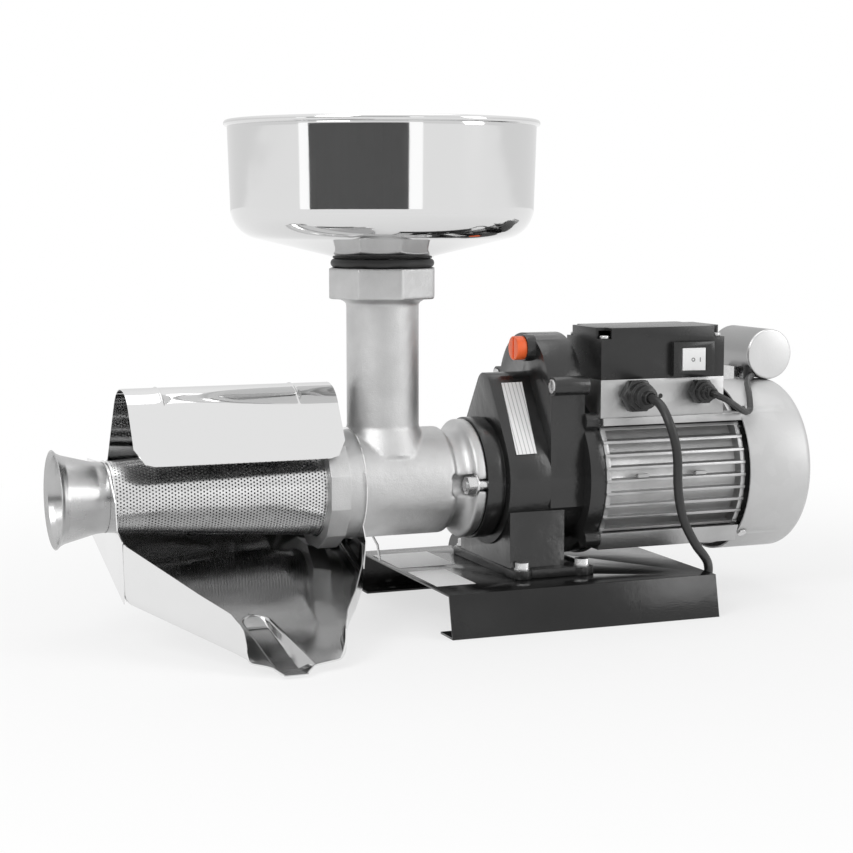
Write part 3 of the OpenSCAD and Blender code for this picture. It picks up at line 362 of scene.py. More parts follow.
# Gearbox cover and case
# Two pressure die castings, painted black. The cover carries the round nose and the case the dome.
new_piece("front_cover_cast", rounded_copy("front_cover", 1.8 * mm, segments=3), "machine",
          casting, ["front_cover"], 40)
new_piece("gear_case_cast", rounded_copy("gear_case", 1.2 * mm, segments=3), "machine",
          casting, ["gear_case"], 40)

# Sheet on the cover
# Blank data sheet of white film with plain ruled rows, stuck on the sloping side of the cover.
sheet_rise = math.radians(35)
sheet_out = Vector((0, -math.cos(sheet_rise), math.sin(sheet_rise)))
sheet_film = 0.12 * mm
sheet_corners = [Vector((x, y, z)) * mm for x, y, z in ((-36.3, -49.0, 126.5), (-19.3, -48.7, 126.8),
                 (-15.7, -12.4, 178.7), (-33.3, -12.6, 178.5))]
cover_face = 53.05 * mm
shaft_centre = Vector((0, 0, 104 * mm))
sheet_feet = []
for corner in sheet_corners:
    depth = (corner - shaft_centre).dot(sheet_out)
    sheet_feet.append(corner + (cover_face - depth) * sheet_out)
sheet_mesh = bpy.data.meshes.new("cover_sheet")
sheet_mesh.from_pydata([tuple(v) for v in sheet_feet]
                       + [tuple(v + sheet_film * sheet_out) for v in sheet_feet], [],
                       [(3, 2, 1, 0), (4, 5, 6, 7), (0, 1, 5, 4), (1, 2, 6, 5), (2, 3, 7, 6),
                       (3, 0, 4, 7)])
film = Finish("cover_film", 0.86, 0.4)
rows = film.node("ShaderNodeTexWave", {"wave_type": "BANDS", "bands_direction": "X"},
                 {"Vector": film.place, "Scale": 96.0, "Distortion": 0.0})
film.set(Base_Color=film.mix(film.band(rows, 0.8, 0.95), 0.88, 0.5))
film.bump(film.noise(500, 3), 0.00003)
new_piece("cover_sheet", sheet_mesh, "machine", film)

# Filler plug
# Moulded orange plug with a ribbed head, screwed into the slope of the cover.

plug_plastic = Finish("filler_plug", (0.95, 0.13, 0.03), 0.36)
plug_plastic.bump(plug_plastic.noise(500, 2), 0.0001)
plug_plastic.set(Base_Color=plug_plastic.mix(plug_plastic.noise(90, 3), (1.0, 0.12, 0.02),
                 (1.0, 0.19, 0.05)))
new_piece("filler_plug", rounded_copy("oil_plug", 0.8 * mm, segments=3), "machine",
          plug_plastic, ["oil_plug"], 40)

# Gears, shafts and bearings
# Hobbed steel gears on ground shafts, with bronze bushes and ball bearings, all inside the castings.
steel = Finish("gear_steel", 0.45, 0.32, 1.0)
steel.set(Roughness=0.25 + 0.2 * steel.noise(200, 3))
steel.set(Base_Color=steel.mix(steel.noise(80, 4), 0.35, 0.55))
steel.bump(steel.noise(1200, 2), 0.00005)
bronze = Finish("bush_bronze", (0.6, 0.36, 0.14), 0.35, 1.0)
bronze.set(Base_Color=bronze.mix(bronze.noise(200, 3), (0.5, 0.28, 0.1), (0.66, 0.42, 0.18)))
seal_rubber = Finish("seal_rubber", 0.02, 0.5)
seal_rubber.bump(seal_rubber.noise(400, 4), 0.0001)
seal_rubber.set(Base_Color=seal_rubber.mix(seal_rubber.noise(60, 4), 0.014, 0.032))
paint(steel, "output_shaft", "output_gear", "cross_shaft", "cross_wheel", "cross_pinion", "output_bearings",
      "motor_shaft", "motor_bearings", "middle_plate")
paint(bronze, "cross_bushes")
paint(seal_rubber, "shaft_seal")

# Motor
# Aluminium housing with pressed in laminations, a black end bell and rear shield, and a fan behind.
cast_metal = Finish("raw_casting", 0.5, 0.4, 1.0)
cast_metal.bump(cast_metal.noise(380, 5, rough=0.6), 0.0002)
cast_metal.bump(cast_metal.noise(60, 4), 0.0008, 0.35)
cast_metal.set(Roughness=0.34 + 0.18 * cast_metal.noise(70, 5))
cast_metal.set(Base_Color=cast_metal.mix(cast_metal.noise(40, 6), 0.36, 0.62))
laminations = Finish("lamination_steel", 0.3, 0.4, 1.0)
laminations.bump(laminations.node("ShaderNodeTexWave", {"bands_direction": "X"},
                                  {"Vector": laminations.place, "Scale": 600.0}), 0.0001)
laminations.set(Base_Color=laminations.mix(laminations.noise(80, 4), 0.24, 0.4))
copper = Finish("enamelled_copper", (0.55, 0.2, 0.08), 0.3, 0.8)
copper.bump(copper.noise(300, 4, copper.stretched(1, 6, 6)), 0.0004)
copper.set(Base_Color=copper.mix(copper.noise(200, 3), (0.42, 0.13, 0.05), (0.62, 0.25, 0.1)))
new_piece("end_bell_cast", rounded_copy("end_bell", 1.2 * mm, segments=3), "machine", casting,
          ["end_bell"], 40)
new_piece("motor_housing_cast", rounded_copy("motor_housing", 0.5 * mm), "machine",
          cast_metal, ["motor_housing"], 40)
new_piece("rear_shield_cast", rounded_copy("rear_shield", 0.8 * mm), "machine", casting,
          ["rear_shield"], 40)
paint(laminations, "stator", "rotor")
lug_size = (11 * mm, 5 * mm, 2.6 * mm)
lug_y, lug_z = -62.6, 107.2
lug_shape = bmesh.new()
for lug_x in (65, 116):
    made = bmesh.ops.create_cube(lug_shape, size=1)["verts"]
    bmesh.ops.scale(lug_shape, vec=lug_size, verts=made)
    bmesh.ops.translate(lug_shape, vec=(lug_x * mm, lug_y * mm, lug_z * mm), verts=made)
bmesh.ops.bevel(lug_shape, geom=lug_shape.edges[:], offset=0.9 * mm, segments=2, affect="EDGES")
lug_mesh = bpy.data.meshes.new("housing_lugs")
lug_shape.to_mesh(lug_mesh)
lug_shape.free()
new_piece("housing_lugs", lug_mesh, "machine", cast_metal, sharp=40)
paint(copper, "windings")

# Fan and cowl
# Moulded fan on the motor shaft, under a drawn steel cowl with a galvanised skin.
plastic = Finish("black_plastic", 0.014, 0.38, Specular_IOR_Level=0.45)
plastic.bump(plastic.noise(1300, 2), 0.00006)
plastic.set(Roughness=0.2 + 0.12 * plastic.noise(50, 4))
plastic.set(Base_Color=plastic.mix(plastic.noise(40, 4), 0.014, 0.024))
paint(plastic, "cooling_fan")
galvanised = Finish("galvanised_sheet", 0.7, 0.5, 0.6)
cells = galvanised.node("ShaderNodeTexVoronoi", {}, {"Vector": galvanised.place, "Scale": 110.0}, "Color")
tone = galvanised.node("ShaderNodeSeparateColor", {}, {"Color": cells})
galvanised.set(Base_Color=galvanised.mix(tone * 0.5 + 0.5 * galvanised.noise(30, 4), 0.56, 0.62))
galvanised.set(Roughness=0.48 + 0.06 * tone)
galvanised.bump(galvanised.noise(500, 3), 0.00005)
new_piece("fan_cowl_drawn", rounded_copy("fan_cowl", 0.3 * mm, segments=1), "machine",
          galvanised, ["fan_cowl"], 40)

# Terminal box
# Cast lower part on the motor, and a black moulded lid with the switch, held by four corner screws.
new_piece("terminal_box_cast", rounded_copy("terminal_box", 0.6 * mm), "machine",
          cast_metal, ["terminal_box"], 40)
new_piece("terminal_lid_moulded", rounded_copy("terminal_lid", 0.8 * mm, segments=3), "machine",
          plastic, ["terminal_lid"], 40)
new_piece("switch_frame", rounded_copy("switch_bezel", 0.7 * mm), "machine", plastic,
          ["switch_bezel"], 40)
white_plastic = Finish("white_plastic", 0.72, 0.3)
white_plastic.bump(white_plastic.noise(600, 2), 0.00004)
white_plastic.set(Base_Color=white_plastic.mix(white_plastic.noise(80, 3), 0.8, 0.88))
rocker_face = white_plastic.node("ShaderNodeSeparateXYZ", {}, {"Vector": white_plastic.place}, "X")
rocker_rise = white_plastic.node("ShaderNodeSeparateXYZ", {}, {"Vector": white_plastic.place}, "Z")
mark_level, ring_place, bar_place = 0.1962, 0.1088, 0.1142
ring_r, bar_half = 0.0012, 0.0016
mark_rise = rocker_rise - mark_level
ring_across = rocker_face - ring_place
ring_away = rocker_face.math("SQRT", ring_across * ring_across + mark_rise * mark_rise)
off_mark = 1 - white_plastic.band(rocker_face.math("ABSOLUTE", ring_away - ring_r), 0.0003, 0.0005)
bar_across = rocker_face.math("ABSOLUTE", rocker_face - bar_place)
on_mark = (1 - white_plastic.band(bar_across, 0.0003, 0.0005)) * (
    1 - white_plastic.band(rocker_face.math("ABSOLUTE", mark_rise), bar_half, bar_half + 0.0002))
white_plastic.set(Base_Color=white_plastic.mix(off_mark + on_mark, white_plastic.mix(
    white_plastic.noise(80, 3), 0.8, 0.88), 0.16))
new_piece("switch_rocker_moulded", rounded_copy("switch_rocker", 0.5 * mm), "switch_button",
          white_plastic, ["switch_rocker"], 40)
stopper_place = (82.8 * mm, -57.1 * mm, 168.3 * mm)
stopper_r = 2 * mm
stopper_shape = bmesh.new()
bmesh.ops.create_cone(stopper_shape, cap_ends=True, segments=24, radius1=stopper_r,
                      radius2=0.9 * stopper_r, depth=0.3 * mm)
bmesh.ops.rotate(stopper_shape, matrix=Matrix.Rotation(math.pi / 2, 3, "X"), verts=stopper_shape.verts)
bmesh.ops.translate(stopper_shape, vec=stopper_place, verts=stopper_shape.verts)
stopper_mesh = bpy.data.meshes.new("box_stopper")
stopper_shape.to_mesh(stopper_mesh)
stopper_shape.free()
new_piece("box_stopper", stopper_mesh, "machine", plastic, sharp=40)
for node in ("mains_gland", "capacitor_gland"):
    new_piece(node + "_moulded", rounded_copy(node, 0.6 * mm), "machine", plastic,
              [node], 40)
paint(plastic, "mains_plug")

# Capacitor
# Drawn aluminium can across the cowl in a saddle clip, with a rubber boot and a short lead.
can = Finish("capacitor_can", 0.74, 0.3, 1.0)
can.set(Roughness=0.26 + 0.14 * can.noise(90, 4, can.stretched(1, 0.15, 1)))
# The front end is lighter than the side, set to match how they look in the photograph
# The side's darker colour is painted reflection; the aluminium of the can is the same all over
can_y = can.node("ShaderNodeSeparateXYZ", {}, {"Vector": can.place}, "Y")
can_rim = -0.011
can.set(Base_Color=can.mix(can.band(can_y, can_rim, can_rim + 0.0015), can.mix(can.noise(50, 4), 0.6, 0.7),
                           can.mix(can.noise(30, 4, can.stretched(1, 0.2, 1)), 0.26, 0.4)))
can.bump(can.noise(600, 3, can.stretched(1, 0.1, 1)), 0.00005)
new_piece("capacitor_drawn", rounded_copy("capacitor", 0.8 * mm, segments=3), "machine",
          can, ["capacitor"], 40)
paint(zinc, "capacitor_clip")
paint(seal_rubber, "capacitor_boot")
paint(rubber, "capacitor_lead")

# Strainer body
# Gravity casting in aluminium: barrel, feed tube and collar in one piece, blasted after casting.
blasted = Finish("blasted_aluminium", 0.56, 0.42, 1.0)
blasted.bump(blasted.noise(900, 4, rough=0.65), 0.00022)
blasted.bump(blasted.noise(110, 5), 0.0007, 0.5)
blasted.set(Roughness=0.38 + 0.16 * blasted.noise(200, 4))
blasted.set(Base_Color=blasted.mix(blasted.noise(60, 6), 0.5, 0.66))


def cast_copy(node, voxel, smoothing):
    """A CAD node's mesh as a casting: remeshed fine and smoothed, so that its edges blend."""
    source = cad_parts[node]
    mesh = bpy.data.meshes.new(node + "_cast")
    shape = bmesh.new()
    shape.from_mesh(source.data)
    bmesh.ops.remove_doubles(shape, verts=shape.verts, dist=0.00002)
    shape.to_mesh(mesh)
    shape.free()
    holder = bpy.data.objects.new(node + "_cast", mesh)
    bpy.context.collection.objects.link(holder)
    remesh = holder.modifiers.new("remesh", "REMESH")
    remesh.mode = "VOXEL"
    remesh.voxel_size = voxel
    soften = holder.modifiers.new("soften", "SMOOTH")
    soften.iterations = smoothing
    soften.factor = 0.5
    return made_plain(holder, node + "_cast")


new_piece("strainer_body_cast", cast_copy("strainer_body", 1.25 * mm, 4), "machine",
          blasted, ["strainer_body"], 70)
new_piece("ring_nut_cast", rounded_copy("ring_nut", 0.8 * mm, 20), "machine", blasted,
          ["ring_nut"], 12)
paint(cast_metal, "auger")

# Perforated cone
# Stainless sheet punched with 1.5 mm holes, rolled into a cone, seam welded at the rear, with a
# turned collar at the ring nut and a plain sleeve at the small end that the waste outlet slips over.
axle = 104


def rounded_line(points, radii, steps, closed=False, spans=0):
    """A flat line with its corners rounded in so many steps, and its straight stretches split too."""
    count = len(points)
    line = []
    for i, (point, radius) in enumerate(zip(points, radii)):
        here = Vector(point)
        if radius == 0 or (not closed and i in (0, count - 1)):
            line.append(here)
            continue
        back = Vector(points[i - 1]) - here
        ahead = Vector(points[(i + 1) % count]) - here
        half = max(back.angle(ahead, math.pi) / 2, 0.02)
        reach = min(radius / math.tan(half), 0.48 * back.length, 0.48 * ahead.length)
        start, end = here + reach * back.normalized(), here + reach * ahead.normalized()
        for k in range(steps + 1):
            t = k / steps
            line.append((1 - t) ** 2 * start + 2 * t * (1 - t) * here + t * t * end)
    if spans == 0:
        return line
    split = [line[0]]
    for i, point in enumerate(line[1:], 1):
        straight = (i - 1) % (steps + 1) == 0 and (i - 1) // (steps + 1) < count
        last = split[-1]
        for k in range(1, spans if straight else 1):
            split.append(last.lerp(point, 0.5 - 0.5 * math.cos(math.pi * k / spans)))
        split.append(point)
    return split


def lathe_mesh(name, sections, steps, upright=None):
    """Turns closed sections of (distance, radius) in mm about the shaft, or about an upright axis."""
    verts, faces = [], []
    for section in sections:
        start, count = len(verts), len(section)
        for distance, radius in section:
            for k in range(steps):
                a = 2 * math.pi * k / steps
                across, up = radius * math.cos(a), radius * math.sin(a)
                if upright is None:
                    verts.append((distance * mm, across * mm, (axle + up) * mm))
                else:
                    verts.append(((upright[0] + across) * mm, (upright[1] + up) * mm, distance * mm))
        for i in range(count):
            for k in range(steps):
                a, b = start + i * steps, start + (i + 1) % count * steps
                faces.append((a + k, a + (k + 1) % steps, b + (k + 1) % steps, b + k))
    mesh = bpy.data.meshes.new(name)
    mesh.from_pydata(verts, [], faces)
    shape = bmesh.new()
    shape.from_mesh(mesh)
    bmesh.ops.remove_doubles(shape, verts=shape.verts, dist=0.000001)
    bmesh.ops.recalc_face_normals(shape, faces=shape.faces)
    shape.to_mesh(mesh)
    shape.free()
    return mesh


def new_tree(name, sizes):
    """A Geometry Nodes tree with one named input for each size."""
    tree = bpy.data.node_groups.new(name, "GeometryNodeTree")
    tree.interface.new_socket(name="Geometry", in_out="INPUT", socket_type="NodeSocketGeometry")
    for size, value in sizes.items():
        kind = "NodeSocketInt" if isinstance(value, int) else "NodeSocketFloat"
        tree.interface.new_socket(name=size, in_out="INPUT", socket_type=kind)
    tree.interface.new_socket(name="Geometry", in_out="OUTPUT", socket_type="NodeSocketGeometry")
    entry = tree.nodes.new("NodeGroupInput")
    return tree, {size: Wire(tree, entry.outputs[size]) for size in sizes}


def grown_mesh(name, tree, sizes, geometry, finish):
    """Ends a tree in real geometry with its material, runs it with the sizes, and gives the mesh."""
    real = add_node(tree, "GeometryNodeRealizeInstances", {}, {"Geometry": geometry})
    done = add_node(tree, "GeometryNodeSetMaterial", {}, {"Geometry": real, "Material": finish.material})
    tree.links.new(done.socket, tree.nodes.new("NodeGroupOutput").inputs[0])
    holder = bpy.data.objects.new(name, bpy.data.meshes.new(name))
    bpy.context.collection.objects.link(holder)
    run = holder.modifiers.new("grow", "NODES")
    run.node_group = tree
    for item in tree.interface.items_tree:
        if item.in_out == "INPUT" and item.name in sizes:
            run[item.identifier] = sizes[item.name]
    return made_plain(holder, name)


def thickened(mesh, thickness, offset):
    """A surface given the thickness of its sheet, as a plain mesh."""
    holder = bpy.data.objects.new(mesh.name, mesh)
    bpy.context.collection.objects.link(holder)
    wall = holder.modifiers.new("sheet", "SOLIDIFY")
    wall.thickness = thickness
    wall.offset = offset
    return made_plain(holder, mesh.name + "_sheet")


satin = Finish("satin_stainless", 0.74, 0.2, 1.0)
satin.set(Roughness=0.16 + 0.12 * satin.noise(200, 3))
satin.set(Base_Color=satin.mix(satin.noise(40, 4), 0.68, 0.8))

cone_low_x, cone_high_x = -342.4, -182.9
cone_low_r, cone_high_r = 26.1, 37.0
cone_sheet = 0.8
lean = math.atan((cone_high_r - cone_low_r) / (cone_high_x - 3 - cone_low_x))
punched = {
    "Hole diameter": 1.5, "Hole pitch": 2.7, "Inner edge": cone_low_r / math.sin(lean) + 1.5,
    "Outer edge": cone_high_r / math.sin(lean) + 0.6, "Half sector": math.pi * math.sin(lean) - 0.004,
    "Half angle": lean, "Tip": cone_low_x - cone_low_r / math.tan(lean), "Shaft height": float(axle),
    "Rows": 0, "Columns": 0}
row_step = punched["Hole pitch"] * math.sqrt(3) / 2
punched["Rows"] = math.ceil((punched["Outer edge"] - punched["Inner edge"]) / row_step) + 12
blank_width = 2 * punched["Outer edge"] * math.sin(punched["Half sector"])
punched["Columns"] = math.ceil(blank_width / punched["Hole pitch"]) + 2
tree, size = new_tree("punched_cone", punched)
# One six sided cell of the sheet with its hole
outline = add_node(tree, "GeometryNodeCurvePrimitiveCircle", {},
                   {"Resolution": 6, "Radius": size["Hole pitch"] / math.sqrt(3)})
hole = add_node(tree, "GeometryNodeCurvePrimitiveCircle", {},
                {"Resolution": 7, "Radius": size["Hole diameter"] / 2})
both = tree.nodes.new("GeometryNodeJoinGeometry")
tree.links.new(outline.socket, both.inputs[0])
tree.links.new(hole.socket, both.inputs[0])
cell = add_node(tree, "GeometryNodeFillCurve", {}, {"Curve": Wire(tree, both.outputs[0])})
# Rows of cells over the flat blank, every second row moved by half a pitch
middle = (size["Inner edge"] + size["Outer edge"]) / 2
grid = add_node(tree, "GeometryNodeMeshGrid", {}, {
    "Size X": (size["Rows"] - 1) * size["Hole pitch"] * (math.sqrt(3) / 2),
    "Size Y": (size["Columns"] - 1) * size["Hole pitch"],
    "Vertices X": size["Rows"], "Vertices Y": size["Columns"]})
number = add_node(tree, "GeometryNodeInputIndex", {}, {})
row = number.math("DIVIDE", number, size["Columns"])
row = row.math("FLOOR", row)
odd = row.math("MODULO", row, 2.0)
shift = add_node(tree, "ShaderNodeCombineXYZ", {}, {"X": middle, "Y": size["Hole pitch"] * (odd - 0.5) / 2})
points = add_node(tree, "GeometryNodeSetPosition", {}, {"Geometry": grid, "Offset": shift})


def polar(tree):
    """Distance and angle of each point from the tip of the flat blank."""
    place = add_node(tree, "GeometryNodeInputPosition", {}, {})
    x = add_node(tree, "ShaderNodeSeparateXYZ", {}, {"Vector": place}, "X")
    y = add_node(tree, "ShaderNodeSeparateXYZ", {}, {"Vector": place}, "Y")
    far = x.math("SQRT", x * x + y * y)
    return far, x.math("ARCTAN2", y, x)


far, turn = polar(tree)
outside = (far < size["Inner edge"]) + (far > size["Outer edge"])
outside = outside + (turn.math("ABSOLUTE", turn) > size["Half sector"])
kept = add_node(tree, "GeometryNodeDeleteGeometry", {"domain": "POINT"},
                {"Geometry": points, "Selection": outside > 0.5})
cells = add_node(tree, "GeometryNodeInstanceOnPoints", {}, {"Points": kept, "Instance": cell})
sheet = add_node(tree, "GeometryNodeRealizeInstances", {}, {"Geometry": cells})
sheet = add_node(tree, "GeometryNodeMergeByDistance", {}, {"Geometry": sheet, "Distance": 0.02})
# The blank is rolled up round the shaft, its seam at the rear
far, turn = polar(tree)
round_turn = turn / size["Half angle"].math("SINE", size["Half angle"])
radius = far * far.math("SINE", size["Half angle"])
rolled = add_node(tree, "ShaderNodeCombineXYZ", {}, {
    "X": (size["Tip"] + far * far.math("COSINE", size["Half angle"])) * mm,
    "Y": radius * far.math("COSINE", round_turn) * -mm,
    "Z": (size["Shaft height"] + radius * far.math("SINE", round_turn)) * mm})
sheet = add_node(tree, "GeometryNodeSetPosition", {}, {"Geometry": sheet, "Position": rolled})
cone_mesh = grown_mesh("perforated_sheet", tree, punched, sheet, satin)
new_piece("perforated_sheet", thickened(cone_mesh, cone_sheet * mm, -1), "machine", satin,
          ["filter_cone"], 40)

sleeve_r, sleeve_t, sleeve_l = 24.3, 1.2, 5
band_sections = [
    rounded_line([(cone_high_x, 41.2), (cone_high_x - 1, 41.2), (cone_high_x - 1, cone_high_r + 0.5),
                  (cone_high_x - 2.4, cone_high_r + 0.4), (cone_high_x - 2.4, cone_high_r - 1),
                  (cone_high_x, cone_high_r - 1)], [0.2, 0.3, 0.4, 0.1, 0.1, 0.1], 4, True),
    rounded_line([(cone_low_x + 1.8, cone_low_r + 0.25), (cone_low_x, cone_low_r), (cone_low_x, sleeve_r),
                  (cone_low_x - sleeve_l, sleeve_r), (cone_low_x - sleeve_l, sleeve_r - sleeve_t),
                  (cone_low_x + 0.9, sleeve_r - sleeve_t), (cone_low_x + 0.9, cone_low_r - 1),
                  (cone_low_x + 1.8, cone_low_r - 0.9)], [0.1, 0.6, 0.3, 0.3, 0.3, 0.3, 0.2, 0.1], 4, True)]
new_piece("cone_ends", lathe_mesh("cone_ends", band_sections, 144), "machine", satin,
          (), 35)

# The welded seam of the cone, one narrow strip on each face of the sheet
seam_verts, seam_faces = [], []
seam_width, seam_proud, seam_rows = 5.0, 0.12, 24
for i in range(seam_rows + 1):
    x = cone_low_x + 1 + (cone_high_x - 3 - cone_low_x) * i / seam_rows
    r = cone_low_r + (x - cone_low_x) * math.tan(lean)
    for radius in (r + seam_proud, r - cone_sheet - seam_proud):
        for k in range(5):
            a = seam_width / r * (k / 4 - 0.5)
            seam_verts.append((x * mm, radius * math.cos(a) * mm, (axle + radius * math.sin(a)) * mm))
ring_order = [0, 1, 2, 3, 4, 9, 8, 7, 6, 5]
for i in range(seam_rows):
    for k in range(10):
        a, b = ring_order[k], ring_order[(k + 1) % 10]
        seam_faces.append((10 * i + a, 10 * i + b, 10 * i + 10 + b, 10 * i + 10 + a))
seam_faces += [tuple(ring_order), tuple(10 * seam_rows + k for k in ring_order)[::-1]]
seam_mesh = bpy.data.meshes.new("cone_seam")
seam_mesh.from_pydata(seam_verts, [], seam_faces)
new_piece("cone_seam", seam_mesh, "machine", satin, (), 35)

# Waste outlet
# Spun stainless funnel with a rolled rim, pushed over the sleeve of the cone.
outlet_x0, outlet_x1 = -381.4, -344.4
outlet_root, outlet_mouth = 24.4, 36.6
outlet_section = rounded_line([
    (outlet_x1, outlet_root), (outlet_x1, outlet_root + 1.2), (outlet_x1 - 8, outlet_root + 2),
    (outlet_x0 + 6, outlet_mouth - 4.3), (outlet_x0 + 2.4, outlet_mouth - 2.5), (outlet_x0, outlet_mouth),
    (outlet_x0 - 0.4, outlet_mouth - 1.2), (outlet_x0 + 2.4, outlet_mouth - 4),
    (outlet_x0 + 6, outlet_mouth - 5.5), (outlet_x1 - 8, outlet_root)],
    [0.3, 0.4, 20, 8, 2, 0.4, 0.3, 2, 8, 20], 8, True)
spun = Finish("spun_stainless", 0.78, 0.14, 1.0)
turning = spun.node("ShaderNodeTexWave", {"bands_direction": "X"},
                    {"Vector": spun.place, "Scale": 900.0, "Distortion": 1.5, "Detail": 3.0})
spun.bump(turning, 0.00002, 0.5)
spun.set(Roughness=0.2 + 0.12 * spun.noise(80, 4))
spun.set(Base_Color=spun.mix(spun.noise(50, 4), 0.42, 0.54))
new_piece("waste_outlet_spun", lathe_mesh("waste_outlet_spun", [outlet_section], 144), "machine",
          spun, ["waste_outlet"], 50)

# Polished stainless sheet
# Hopper, tray and guard are drawn or folded from stainless sheet and polished.
mirror = Finish("polished_stainless", 0.72, 0.06, 1.0)
mirror.set(Roughness=0.035 + 0.05 * mirror.noise(30, 4))
mirror.bump(mirror.noise(14, 2), 0.0012, 0.2)

# Hopper
# Deep drawn bowl with a rolled rim, on a stub tube that a rubber ring seals in the collar.
hopper_low, hopper_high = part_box("hopper")
hopper_x = (hopper_low[0] + hopper_high[0]) / 2 / mm
hopper_r = (hopper_high[0] - hopper_low[0]) / 2 / mm
hopper_z, hopper_top = hopper_low[2] / mm, hopper_high[2] / mm
hopper_h = hopper_top - hopper_z
wall_r, corner_r, floor_rise, rim_r = 114.9, 24, 14, 2.4
foot_r, mouth_r, hopper_sheet = 39.5, 28, 1
slope = math.atan((floor_rise - 1.9) / (wall_r - corner_r - foot_r))


def bowl_side(depth):
    """The bowl's line from its foot to its rim, offset inwards by a depth."""
    centre = (wall_r - corner_r, floor_rise + corner_r / math.cos(slope))
    line = []
    for k in range(33):
        a = slope - math.pi / 2 + (math.pi / 2 - slope) * k / 32
        line.append((centre[1] + (corner_r - depth) * math.sin(a), centre[0]
                    + (corner_r - depth) * math.cos(a)))
    return line


bowl_foot = [(0.05, mouth_r), (0.05, foot_r - 3), (0.5, foot_r - 1), (1.9, foot_r + 1)]
bowl_lip = [(hopper_h - 7, wall_r + 1.8), (hopper_h - 4.4, wall_r + 2), (hopper_h - 3, hopper_r - 3.4)]
outside = bowl_foot + bowl_side(0) + bowl_lip
inside = [(h + 0.4, r - 1) for h, r in bowl_lip[::-1]] + bowl_side(hopper_sheet)[::-1]
inside += [(1.9 + hopper_sheet, foot_r), (hopper_sheet, foot_r - 3), (hopper_sheet, mouth_r)]
bowl = [(hopper_z + h, r) for h, r in outside + inside]
bead = [(hopper_top - rim_r + rim_r * math.sin(a), hopper_r - rim_r + rim_r * math.cos(a))
        for a in [2 * math.pi * k / 24 for k in range(24)]]
new_piece("hopper_bowl", lathe_mesh("hopper_bowl", [bowl, bead], 256, (hopper_x, 0)), "hopper_set",
          mirror, ["hopper"], 60)

paint(satin, "hopper_spigot")
paint(seal_rubber, "seal_ring")

# Drip tray
# Pan of one pressed sheet: a sloping floor with a drain groove, a tall left wall and a low right
# one. Its rear wall and end plates are spot welded on, and their ears hang on the hinge wire.
tray_sheet = 0.8
tray_left = [(-172, -261), (-159.5, -267), (-153.5, -279.6), (-138, -289.5), (-62, -344), (60, -344)]
tray_right = [(-172, -245), (-161, -236), (-158, -217), (-151, -210.5), (-136, -205), (-121, -198.5),
              (-95, -183), (-63, -167), (-35, -156), (60, -156)]
left_top = [(-172, 3.6), (-158, 5.9), (-154.2, 6.4), (-152.5, 10.4), (-151.2, 16.4), (-150.8, 21.1),
            (-149.8, 27.1), (-148.8, 30.4), (-146, 34.1), (-143, 37.1), (-139.2, 40.7), (-117.5, 50.8),
            (-62, 79)]
right_top = [(-172, 4), (-158, 7), (-154, 12), (-146, 25), (-29, 64)]
floor_line = [(-172, 2.6), (-171, 2.6), (-65, 35.2), (50, 72.3)]
right_dip = [(-110, 0), (-50, 7)]
groove_line = [(-172, -253.5), (-94, -259.5)]
groove_depth = [(-160, 4.4), (-140, 5), (-100, 4.6), (-91, 0.2), (-90, 0)]
groove_flare = [(-160, 10), (-96, 1.2)]
groove_half, groove_end, crease_x = 8.6, -90.5, -216


def along(table, y):
    """The value of a table of (y, value) rows at one y, held level beyond its ends."""
    if y <= table[0][0]:
        return table[0][1]
    for (y0, v0), (y1, v1) in zip(table, table[1:]):
        if y <= y1:
            return v0 + (v1 - v0) * (y - y0) / (y1 - y0)
    return table[-1][1]


def eased(table, y, reach):
    """The same, averaged over a stretch so that its corners are soft."""
    return sum(along(table, y + reach * (k / 4 - 1)) for k in range(9)) / 9


def tray_section(y):
    """The pan's upper face at one station, from the top of its left wall to that of its right one."""
    left, right = eased(tray_left, y, 3), eased(tray_right, y, 2)
    level, drop = eased(floor_line, y, 2), eased(right_dip, y, 6)
    half = groove_half * math.sqrt(max(1 - max((y - groove_end + groove_half) / groove_half, 0) ** 2,
                                   0.004))
    half = min(half, (right - left) / 2 - 2.4)
    centre = min(along(groove_line, y), right - half - 2)
    flare = min(eased(groove_flare, y, 3), right - centre - half - 1)
    depth = min(eased(groove_depth, y, 1), max(level - 2.5, 0.1))
    crease = min(max(crease_x, centre + half + flare + 0.3), right - 0.4)
    left_z = level + 12 if y > -60 else max(along(left_top, y), level + 1)
    right_z = level + 2 if y > -30 else max(along(right_top, y), level + 1)
    points = [(left, left_z), (left, level), (centre - half - 0.8, level), (centre - half, level - depth),
              (centre + half, level - depth), (centre + half + flare, level), (crease, level),
              (right, level - drop), (right, right_z)]
    return rounded_line(points, [0, 7, 1.6, 1.6, 1.6, 2.4, 12, 6, 0], 7, spans=8)


stations = [50 - 5 * k for k in range(22)] + [-60.5, -61, -64, -66] + [-68 - 3 * k for k in range(7)]
stations += [-88.5 - 0.75 * k for k in range(16)] + [-102 - 2 * k for k in range(21)]
stations += [-143 - 0.6 * k for k in range(49)]
tray_rows = [tray_section(y) for y in stations]
tray_verts = [(x * mm, y * mm, z * mm) for y, row in zip(stations, tray_rows) for x, z in row]
width = len(tray_rows[0])
tray_faces = [(i * width + k, i * width + k + 1, (i + 1) * width + k + 1, (i + 1) * width + k)
              for i in range(len(stations) - 1) for k in range(width - 1)]
tray_mesh = bpy.data.meshes.new("tray_pan")
tray_mesh.from_pydata(tray_verts, [], [face[::-1] for face in tray_faces])
tray_steel = Finish("tray_stainless", 0.8, 0.1, 1.0)
tray_steel.set(Roughness=0.07 + 0.1 * tray_steel.noise(24, 5))
# The upper face's darker colour is painted reflection of the shaded parts above the tray, not wear of the
# steel
worn = tray_steel.node("ShaderNodeAttribute", {"attribute_name": "worn"}, {}, "Fac")
